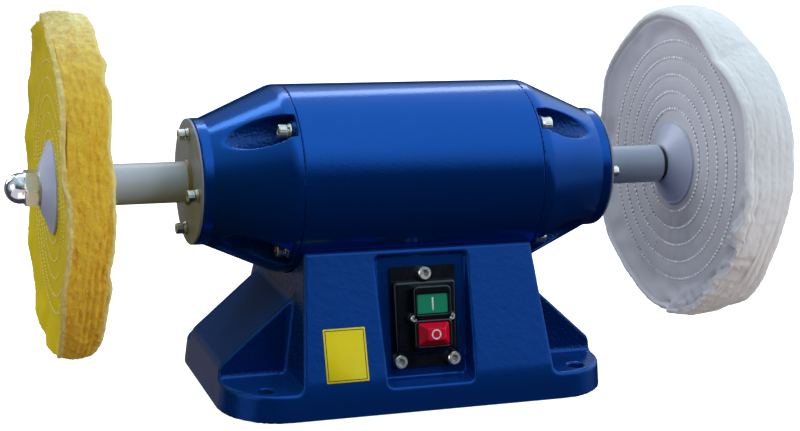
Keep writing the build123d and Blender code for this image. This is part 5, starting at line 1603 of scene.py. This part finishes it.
@dataclass(frozen=True)
class Face:
    """A flat place on the machine: its middle, and how far it leans back from upright, in degrees."""

    middle: Size3
    lean: float

    def put(self, flat: Array, height: float) -> Array:
        """Put flat points on the face.

        Args:
            flat: places across the face and up along it.
            height: height out of the face.

        Returns:
            Points in the machine's frame.
        """
        lean = math.radians(self.lean)
        up = np.array([0.0, math.sin(lean), math.cos(lean)])
        out = np.array([0.0, -math.cos(lean), math.sin(lean)])
        return np.array(self.middle) + flat[:, :1] * (1.0, 0.0, 0.0) + flat[:, 1:] * up + height * out

    def local(self, x: Array, y: Array, z: Array) -> tuple[Array, Array, Array]:
        """Read points of the machine as places across the face, up along it and out of it."""
        lean, back, up = math.radians(self.lean), y - self.middle[1], z - self.middle[2]
        return (x - self.middle[0], back * math.sin(lean) + up * math.cos(lean),
                up * math.sin(lean) - back * math.cos(lean))

    def plate(self, name: str, half: Size2, corner: float, rise: Size2, finish: Finish, line: float = 0.0,
              shift: Size2 = (0.0, 0.0)) -> Object:
        """Lay a thin plate, or a closed line, on the face.

        Args:
            name, finish: name and finish of the piece.
            half: half width and half height in mm.
            corner: corner radius in mm.
            rise: lower and upper height in mm.
            line: width of the line in mm, or 0 for a full plate.
            shift: place on the face in mm.

        Returns:
            The new object.
        """
        bevel = 0.3 * (rise[1] - rise[0])
        insets = [(0.0, rise[0]), (0.0, rise[1] - bevel), (bevel, rise[1])]
        if line:
            insets += [(line - bevel, rise[1]), (line, rise[1] - bevel), (line, rise[0])]
        loops = []
        for inset, height in insets:
            outline = rounded(half[0] - inset, half[1] - inset, max(corner - inset, 0.02))
            loops.append(self.put(outline + np.array(shift), height))
        count = len(loops[0])
        faces = quads(len(loops), count, bool(line))[:, [0, 3, 2, 1]].tolist()
        if not line:
            faces += [tuple(range(count))[::-1], tuple(range((len(loops) - 1) * count, len(loops) * count))]
        return mesh_piece(name, np.concatenate(loops), faces, finish)


@dataclass
class SwitchFront:
    """Front of the switch: a frame of two soft-edged wells, two buttons with signs, and the plate beside it.

    Attributes:
        wells: middle height and half height of each half of the frame, in mm along the face.
        windows: middle height and half height of each opening in it.
        levels: heights of the frame's foot, the ears, the start button, the frame and the stop button.
        ear: how far aside each screw ear lies, and its radius.
        key_foot: height of the underside of both buttons, which clears the switch body when they are pressed.
        taper: how far the stop button's raised face is set in, across and up.
        skirt: straight foot of the stop button below the frame's level.
        corners: corner radii of the frame, its openings, the start button and the stop button.
        edges: edge radii of the ears, the frame, its openings, the start button and the stop button.
        ink: depth of the signs' foot and height of their top, from the face of a button.
        springs: CAD node, joint and travel of the return spring behind each button.
    """

    recess: Face = Face((3.6, -65.85, 63.0), 12.5)
    panel: Face = Face((-64.5, -84.75, 44.0), 21.9)
    wells: Table = ((11.1, 12.7), (-12.4, 11.4))
    windows: Table = ((10.2, 7.55), (-11.8, 8.65))
    width: Size2 = (14.75, 12.35)
    levels: tuple[float, ...] = (7.25, 11.25, 14.05, 15.25, 21.25)
    ear: Size2 = (14.9, 3.9)
    key_foot: float = 8.75
    play: float = 0.35
    taper: Size2 = (5.0, 3.9)
    skirt: float = 0.6
    corners: Size4 = (4.0, 1.2, 1.0, 1.4)
    edges: tuple[float, ...] = (0.6, 1.7, 0.6, 0.5, 0.7)
    space: Size4 = (19.5, 25.0, 6.5, 22.0)
    cell: float = 0.5
    signs: tuple[float, ...] = (0.65, 4.8, 3.7, 1.0, -0.6)
    ink: Size2 = (0.1, 0.08)
    plate: Size2 = (15.95, 19.5)
    border: Size2 = (1.2, 0.6)
    springs: tuple[tuple[str, str, float], ...] = (("start_button_spring", "start_button_press", 2.5),
                                                   ("stop_button_spring", "stop_button_press", 3.0))
    coil: tuple[float, float, float, int] = (4.0, 0.3, 2.7, 3)
    coil_points: tuple[int, int] = (36, 10)
    spring_seat: float = 5.356

    def frame(self, x: Array, y: Array, z: Array) -> Array:
        """Measure to the frame of the switch.

        Args:
            x, y, z: places in mm.

        Returns:
            Distance, negative inside.
        """
        across, up, out = self.recess.local(x, y, z)
        ear_edge, frame_edge, window_edge = self.edges[:3]
        ears = np.hypot(np.abs(across) - self.ear[0], up) - self.ear[1]
        form = round_max(ears, out - self.levels[1], ear_edge)
        for middle, half in self.wells:
            well = block(across, up - middle, (self.width[0], half), self.corners[0])
            form = np.minimum(form, round_max(well, out - self.levels[3], frame_edge))
        for middle, half in self.windows:
            window = block(across, up - middle, (self.width[1], half), self.corners[1])
            form = round_max(form, -window, window_edge)
        return np.maximum(form, self.levels[0] - out)

    def start(self, x: Array, y: Array, z: Array) -> Array:
        """Measure to the flat start button.

        Args:
            x, y, z: places in mm.

        Returns:
            Distance, negative inside.
        """
        across, up, out = self.recess.local(x, y, z)
        middle, half = self.windows[0]
        sides = block(across, up - middle, (self.width[1] - self.play, half - self.play), self.corners[2])
        return np.maximum(round_max(sides, out - self.levels[2], self.edges[3]), self.key_foot - out)

    def stop(self, x: Array, y: Array, z: Array) -> Array:
        """Measure to the stop button, whose sides run up to a smaller raised face.

        Args:
            x, y, z: places in mm.

        Returns:
            Distance, negative inside.
        """
        across, up, out = self.recess.local(x, y, z)
        middle, half = self.windows[1]
        height = self.levels[4] - self.levels[3] + self.skirt
        rise = np.clip((out - self.levels[3] + self.skirt) / height, 0, 1) ** 0.8
        sides = block(across, up - middle, (self.width[1] - self.play - self.taper[0] * rise,
                                            half - self.play - self.taper[1] * rise), self.corners[3])
        return np.maximum(round_max(0.75 * sides, out - self.levels[4], self.edges[4]), self.key_foot - out)

    def spring(self, node: str, joint: str, travel: float, level: float) -> None:
        """Wind a return spring in the place of the CAD one.

        Args:
            node: CAD node of the spring.
            joint: not used.
            travel: not used.
            level: height of the button's middle along the face, in mm.
        """
        radius, wire, height, turns = self.coil
        foot = self.recess.put(np.array([(0.0, level)]), self.spring_seat)[0]
        aside, up = self.recess.put(np.array([(1.0, 0.0), (0.0, 1.0)]), 0.0) - self.recess.middle
        out = np.cross(aside, up)
        turn = np.linspace(0, 2 * math.pi * turns, self.coil_points[0] * turns + 1)[:, None]
        section = np.linspace(0, 2 * math.pi, self.coil_points[1], endpoint=False)[None]
        reach = radius + wire * np.cos(section)
        rise = wire + height * turn / turn[-1] + wire * np.sin(section)
        points = foot + sum(share[..., None] * axis for share, axis in (
            (reach * np.cos(turn), aside), (reach * np.sin(turn), up), (rise, out)))
        rows, count = points.shape[:2]
        faces = quads(rows, count, False).tolist()
        faces += [tuple(range(count)), tuple(range(rows * count - 1, (rows - 1) * count - 1, -1))]
        piece = mesh_piece(f"{node}_coil", points.reshape(-1, 3), faces, ZINC)
        seat(piece, "frame", "zinc_steel", node)
        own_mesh(piece)

    def build(self) -> None:
        """Make the frame, the buttons, their signs and the plate."""
        wide, tall, lowest, highest = self.space
        corners = np.concatenate([
            self.recess.put(np.array([(across, up)]), out)
            for across in (-wide, wide) for up in (-tall, tall) for out in (lowest, highest)])
        for form, name, finish, body, slot, node in (
                (self.frame, "switch_frame", BLACK_PLASTIC, "frame", "black_plastic", "switch_bezel"),
                (self.start, "start_key", GREEN_PLASTIC, "start_button", "green_button", "start_button"),
                (self.stop, "stop_key", RED_PLASTIC, "stop_button", "red_button", "stop_button")):
            piece = carved(name, form, tuple(corners.min(0)), tuple(corners.max(0)), self.cell, finish)
            seat(piece, body, slot, node)
        for (node, joint, travel), (level, _) in zip(self.springs, self.windows):
            self.spring(node, joint, travel, level)
        bar_width, bar_height, ring, line, aside = self.signs
        for key, half, corner, top, width, shift, slot in (
                ("start", (bar_width, bar_height), 0.3, self.levels[2], 0.0, 0.0, "green_button"),
                ("stop", (ring, ring), ring, self.levels[4], line, aside, "red_button")):
            level = self.windows[0 if key == "start" else 1][0]
            sign = self.recess.plate(f"{key}_sign", half, corner, (top - self.ink[0], top + self.ink[1]),
                                     PALE_PRINT, width, (shift, level))
            seat(sign, f"{key}_button", slot)
        inset, line = self.border
        frame = (self.plate[0] - inset, self.plate[1] - inset)
        label = self.panel.plate("blank_plate", self.plate, 0.6, (-0.3, 0.25), YELLOW_VINYL)
        seat(label, "frame", "zinc_steel")
        border = self.panel.plate("plate_border", frame, 0.3, (0.2, 0.3), BLACK_INK, line)
        seat(border, "frame", "zinc_steel")


@dataclass
class Studio:
    """Pale floor, soft lights and the camera.

    Attributes:
        lens: focal length in mm on a sensor 36 mm wide.
        sky: for each bright patch of the room its direction, the cosines where it starts and is full, its
            strength and its colour.
        lamps: what the light method takes for each soft box.
    """

    eye: Size3 = (-410.98, -1131.13, 407.71)
    yaw: float = math.radians(20.152)
    pitch: float = math.radians(13.237)
    roll: float = math.radians(2.007)
    lens: float = 72.353
    sky: tuple[tuple[Size3, float, float, float, str], ...] = (
        ((0.3, 0.0, 0.95), 0.28, 0.74, 0.88, "#CCE8F6"), ((0.7, 0.0, 0.7), 0.45, 0.6, 0.45, "#CCE8F6"),
        ((0.875, 0.235, 0.423), 0.8, 0.95, 0.5, "#CCE8F6"), ((-0.92, -0.25, 0.31), 0.8, 0.95, 0.7, "#DCE8FF"),
        ((-0.39, 0.91, -0.16), 0.86, 0.95, 0.24, "#D8C8BE"))
    room: str = "#15182A"
    floor_half: float = 4000.0
    lamps: tuple[tuple, ...] = (
        ("overhead", (0.1, 0.94, 1.44), (0.0, 0.0, 0.18), (2.0, 0.28), 6.8, "#FFEFD6", None,
         (1.22, 0.44, -0.44)),
        ("left", (-1.3, 1.5, 1.1), (0.1, 0.0, 0.15), (1.2, 1.2), 20.0, "#E6ECFA", Fill.PALE),
        ("left_front", (-2.0, -0.8, 0.7), (0.0, 0.0, 0.15), (1.0, 1.0), 9.0, "#F2F2FA", Fill.PALE),
        ("front", (1.5, -1.4, 0.8), (0.0, 0.0, 0.15), (1.2, 0.9), 14.5, "#FAF8FF", Fill.FRONT),
        ("below", (0.2, -0.8, -0.6), (0.0, 0.0, 0.15), (1.8, 1.0), 5.5, "#FFF1E8", Fill.BELOW),
        ("bounce", (-0.7, -0.9, -0.5), (-0.29, 0.0, 0.157), (2.4, 2.0), 12.0, "#F4F2FF", Fill.BOUNCE))

    def camera(self) -> None:
        """Set the camera left of the machine's front and a little above it."""
        level = math.cos(self.pitch)
        forward = Vector((math.sin(self.yaw) * level, math.cos(self.yaw) * level, -math.sin(self.pitch)))
        right = Vector((math.cos(self.yaw), -math.sin(self.yaw), 0.0))
        up = right.cross(forward)
        tilted = right * math.cos(self.roll) + up * math.sin(self.roll)
        upright = up * math.cos(self.roll) - right * math.sin(self.roll)
        data = bpy.data.cameras.new("camera")
        data.sensor_fit = "HORIZONTAL"
        data.sensor_width = 36.0
        data.lens = self.lens
        data.clip_start = 0.01
        camera = shown("camera", data)
        turn = Matrix((tilted, upright, -forward)).transposed().to_4x4()
        camera.matrix_world = Matrix.Translation(Vector(self.eye) * MM) @ turn
        bpy.context.scene.camera = camera

    def light(self, name: str, place: Size3, aim: Size3, size: Size2, power: float, colour: str,
              fill: Fill | None, along: Size3 = (1.0, 0.0, 0.0)) -> None:
        """Add one soft box.

        Args:
            name: name of the light.
            place, aim: where it is and the point it faces, in metres.
            size: width and height in metres.
            power, colour: power in watts and sRGB colour.
            fill: what the light reaches, where that isn't everything.
            along: direction of its width.
        """
        data = bpy.data.lights.new(name, "AREA")
        data.shape = "RECTANGLE"
        data.size, data.size_y = size
        data.energy = power
        data.color = linear(colour)[:3]
        lamp = shown(name, data)
        back = (Vector(place) - Vector(aim)).normalized()
        side = (Vector(along) - back * back.dot(Vector(along))).normalized()
        turn = Matrix((side, back.cross(side), back)).transposed().to_4x4()
        lamp.matrix_world = Matrix.Translation(place) @ turn
        if fill:
            lamp.light_linking.receiver_collection = fill.pieces()

    def surroundings(self) -> None:
        """Set the world: a ceiling and windows that the enamel mirrors, and white behind the object."""
        world = bpy.data.worlds.new("studio")
        world.use_nodes = True
        tree = world.node_tree
        tree.nodes.clear()
        way = add(tree, "ShaderNodeTexCoord").outputs["Generated"]
        total = linear(self.room)[:3]
        for axis, low, high, strength, colour in self.sky:
            lean = add(tree, "ShaderNodeVectorMath", {0: way, 1: axis}, operation="DOT_PRODUCT")
            patch = add(tree, "ShaderNodeMapRange", {
                "Value": lean.outputs["Value"], "From Min": low, "From Max": high, "To Max": strength})
            tint = add(tree, "ShaderNodeVectorMath", {
                0: linear(colour)[:3], "Scale": patch}, operation="SCALE")
            total = add(tree, "ShaderNodeVectorMath", {0: tint, 1: total}, operation="ADD")
        glow = add(tree, "ShaderNodeBackground", {"Color": total, "Strength": 1.0})
        white = add(tree, "ShaderNodeBackground", {"Color": linear("#FDFDFD"), "Strength": 1.0})
        seen = add(tree, "ShaderNodeLightPath").outputs["Is Camera Ray"]
        mixed = add(tree, "ShaderNodeMixShader", {0: seen, 1: glow, 2: white})
        add(tree, "ShaderNodeOutputWorld", {"Surface": mixed})
        bpy.context.scene.world = world

    def floor(self) -> None:
        """Lay the pale floor, lit a little by itself so that it stays white into the distance."""
        # Matt paper: even white without gloss
        paper = Finish("matt_white_paper", "#FFFFFF", "#FCFCFC", 400.0, (0.9, 0.95), specular=0.1, glow=0.93)
        half = self.floor_half
        points = np.array([(-half, -half, 0), (half, -half, 0), (half, half, 0), (-half, half, 0)], float)
        floor = mesh_piece("floor", points, [(0, 1, 2, 3)], paper)
        floor.visible_glossy = False
        floor.visible_diffuse = False
        floor.visible_shadow = False

    def build(self) -> None:
        """Set up the studio."""
        self.camera()
        self.surroundings()
        self.floor()
        for lamp in self.lamps:
            self.light(*lamp)
        bpy.context.scene.view_settings.view_transform = "Standard"


WHITE_WHEEL = ClothWheel(
    Side.RIGHT, WHITE_COTTON, WHITE_THREAD, WHITE_THREAD, "white_wheel", "white_cloth",
    near=Lip(
        ((1, 127.4), (7, 124.3), (12, 122.7), (21, 125.4), (30, 127.6), (39, 122.7), (47, 118.2), (56, 112.3),
         (64, 114.6), (72, 117.6), (80, 120.2), (90, 121.7), (105, 126.3), (117, 127.7), (129, 127.0),
         (139, 128.7), (149, 131.1), (156, 131.7), (163, 127.2), (170, 123.9), (195, 126.5), (222, 126.8),
         (234, 122.0), (248, 119.5), (261, 120.7), (272, 121.6), (282, 124.0), (306, 120.4), (321, 117.0),
         (334, 124.0), (346, 126.9)),
        ((0, 17.3), (60, 17.8), (120, 16.8), (180, 17.6), (240, 17.0), (300, 17.5)),
        ((0, 3.0), (40, 3.6), (80, 4.2), (100, 5.6), (200, 5.0), (270, 3.6), (330, 2.2))),
    far=Lip(
        ((2, 131.8), (11, 132.0), (20, 133.2), (31, 131.6), (38, 129.7), (45, 127.2), (55, 122.4),
         (65, 120.5), (75, 121.9), (84, 123.1), (94, 124.8), (104, 128.4), (130, 127.5), (160, 129.0),
         (190, 126.0), (220, 127.5), (250, 124.5), (283, 123.6), (299, 120.7), (312, 126.1), (322, 125.9),
         (331, 124.8), (339, 124.5), (347, 126.0), (356, 128.9)),
        ((0, 18.7), (90, 18.4), (180, 18.9), (270, 18.4)),
        ((0, 2.2), (180, 2.2))),
    plies=(
        (0.06, 0.7, 0.025, 0.4), (0.16, 1.0, 0.035, 0.5), (0.27, 0.9, 0.035, 0.5), (0.45, 0.6, 0.04, 0.5),
        (0.62, 0.7, 0.03, 0.5), (0.8, 0.6, 0.04, 0.5)),
    rings=(41.8, 55.6, 69.4, 83.2, 97.0), shift=(1.1, 1.7), sewn_half=10.0, flare=2.2, pillow=0.5, groove=0.6,
    folds=(2.2, 18.0), tuft=0.4, faded=0.0, ragged=0.6, frayed=(318.0, 40.0), waves=12.0, fuzz=18000.0,
    stitch=(4.0, 3.2, 2.3), slant=0.5, hole=(1.3, 1.2), creases=((218.0, 0), (241.0, 1), (259.0, 2)),
    loose_end=(
        (-91.5, 111.0), (-88.0, 109.2), (-84.6, 110.2), (-82.2, 112.7), (-83.4, 115.4), (-86.6, 117.2),
        (-92.3, 118.2), (-98.3, 117.0), (-101.7, 113.9), (-104.5, 110.0)),
    dusty=(285.0, 48.0, 32.0, 0.9), mirrored=False, seed=41)

YELLOW_WHEEL = ClothWheel(
    Side.LEFT, YELLOW_COTTON, YELLOW_THREAD, YELLOW_LINT, "yellow_wheel", "yellow_cloth",
    near=Lip(
        ((0, 122.0), (90, 121.5), (180, 122.0), (270, 121.0)),
        ((7, 18.0), (14, 20.8), (25, 20.1), (33, 18.8), (41, 18.3), (50, 18.1), (57, 18.6), (68, 19.7),
         (81, 17.7), (109, 12.0), (119, 15.4), (134, 12.6), (144, 11.8), (152, 13.6), (163, 11.6),
         (173, 15.1), (181, 13.0), (200, 12.9), (213, 16.3), (222, 14.5), (232, 14.4), (243, 17.0),
         (251, 15.7), (257, 13.1), (267, 15.6), (279, 11.9), (302, 16.6), (314, 18.5), (330, 20.2),
         (340, 20.4), (351, 18.3), (358, 18.0)),
        ((0, 1.3), (180, 1.3))),
    far=Lip(
        ((0, 122.5), (90, 122.0), (180, 122.5), (270, 121.0)),
        ((2, 14.7), (8, 13.9), (13, 15.2), (24, 12.7), (32, 15.4), (40, 16.7), (47, 13.6), (54, 17.8),
         (59, 14.4), (68, 14.7), (76, 15.4), (110, 14.0), (150, 15.5), (190, 14.0), (230, 15.5), (265, 13.5),
         (294, 10.2), (310, 11.8), (322, 11.7), (331, 12.1), (338, 13.5), (343, 10.9), (351, 13.4)),
        ((0, 2.0), (180, 2.0))),
    plies=(
        (0.1, 4.0, 0.014, 0.95), (0.1, 0.7, 0.03, 0.5), (0.27, 0.7, 0.045, 0.5), (0.4, 0.9, 0.04, 0.5),
        (0.54, 0.8, 0.045, 0.5), (0.68, 0.9, 0.04, 0.5), (0.84, 0.8, 0.04, 0.5)),
    rings=(40.2, 52.6, 65.0, 77.4, 89.8), shift=(0.0, 0.0), sewn_half=10.6, flare=1.5, pillow=0.15,
    groove=0.1, folds=(0.9, 13.0), tuft=0.85, faded=0.9, ragged=0.7, frayed=(100.0, 40.0), waves=0.3,
    fuzz=45000.0, stitch=(3.6, 2.3, 1.1), slant=0.0, hole=None, creases=(), loose_end=(),
    dusty=(0.0, 0.0, 1.0, 0.0), mirrored=True, seed=17)


def dress_cad(frame: dict) -> None:
    """Give every carried-over CAD node its finish.
    """
    for part in frame["record"]["subparts"]:
        finish = CAD_FINISHES.get(part["material_slot"])
        if finish is None:
            continue
        node = frame["nodes"][part["node"]]
        Fill.reach(node, part["material_slot"])
        if node.material_slots:
            for slot in node.material_slots:
                slot.material = finish.material()
        else:
            LOG.info("%s has no material slot", part["node"])


def main() -> None:
    """Build the dressed machine."""
    logging.basicConfig(level=logging.INFO, format="%(name)s: %(message)s")
    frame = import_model()
    Studio().build()
    dress_cad(frame)
    CastBase().build()
    MotorBarrel().build()
    for side in Side:
        EndBell(side).build()
        TubeEnd(side).build()
        WheelClamp(side).build()
    Fasteners().build()
    SwitchFront().build()
    WHITE_WHEEL.build()
    YELLOW_WHEEL.build()


if __name__ == "__main__":
    main()
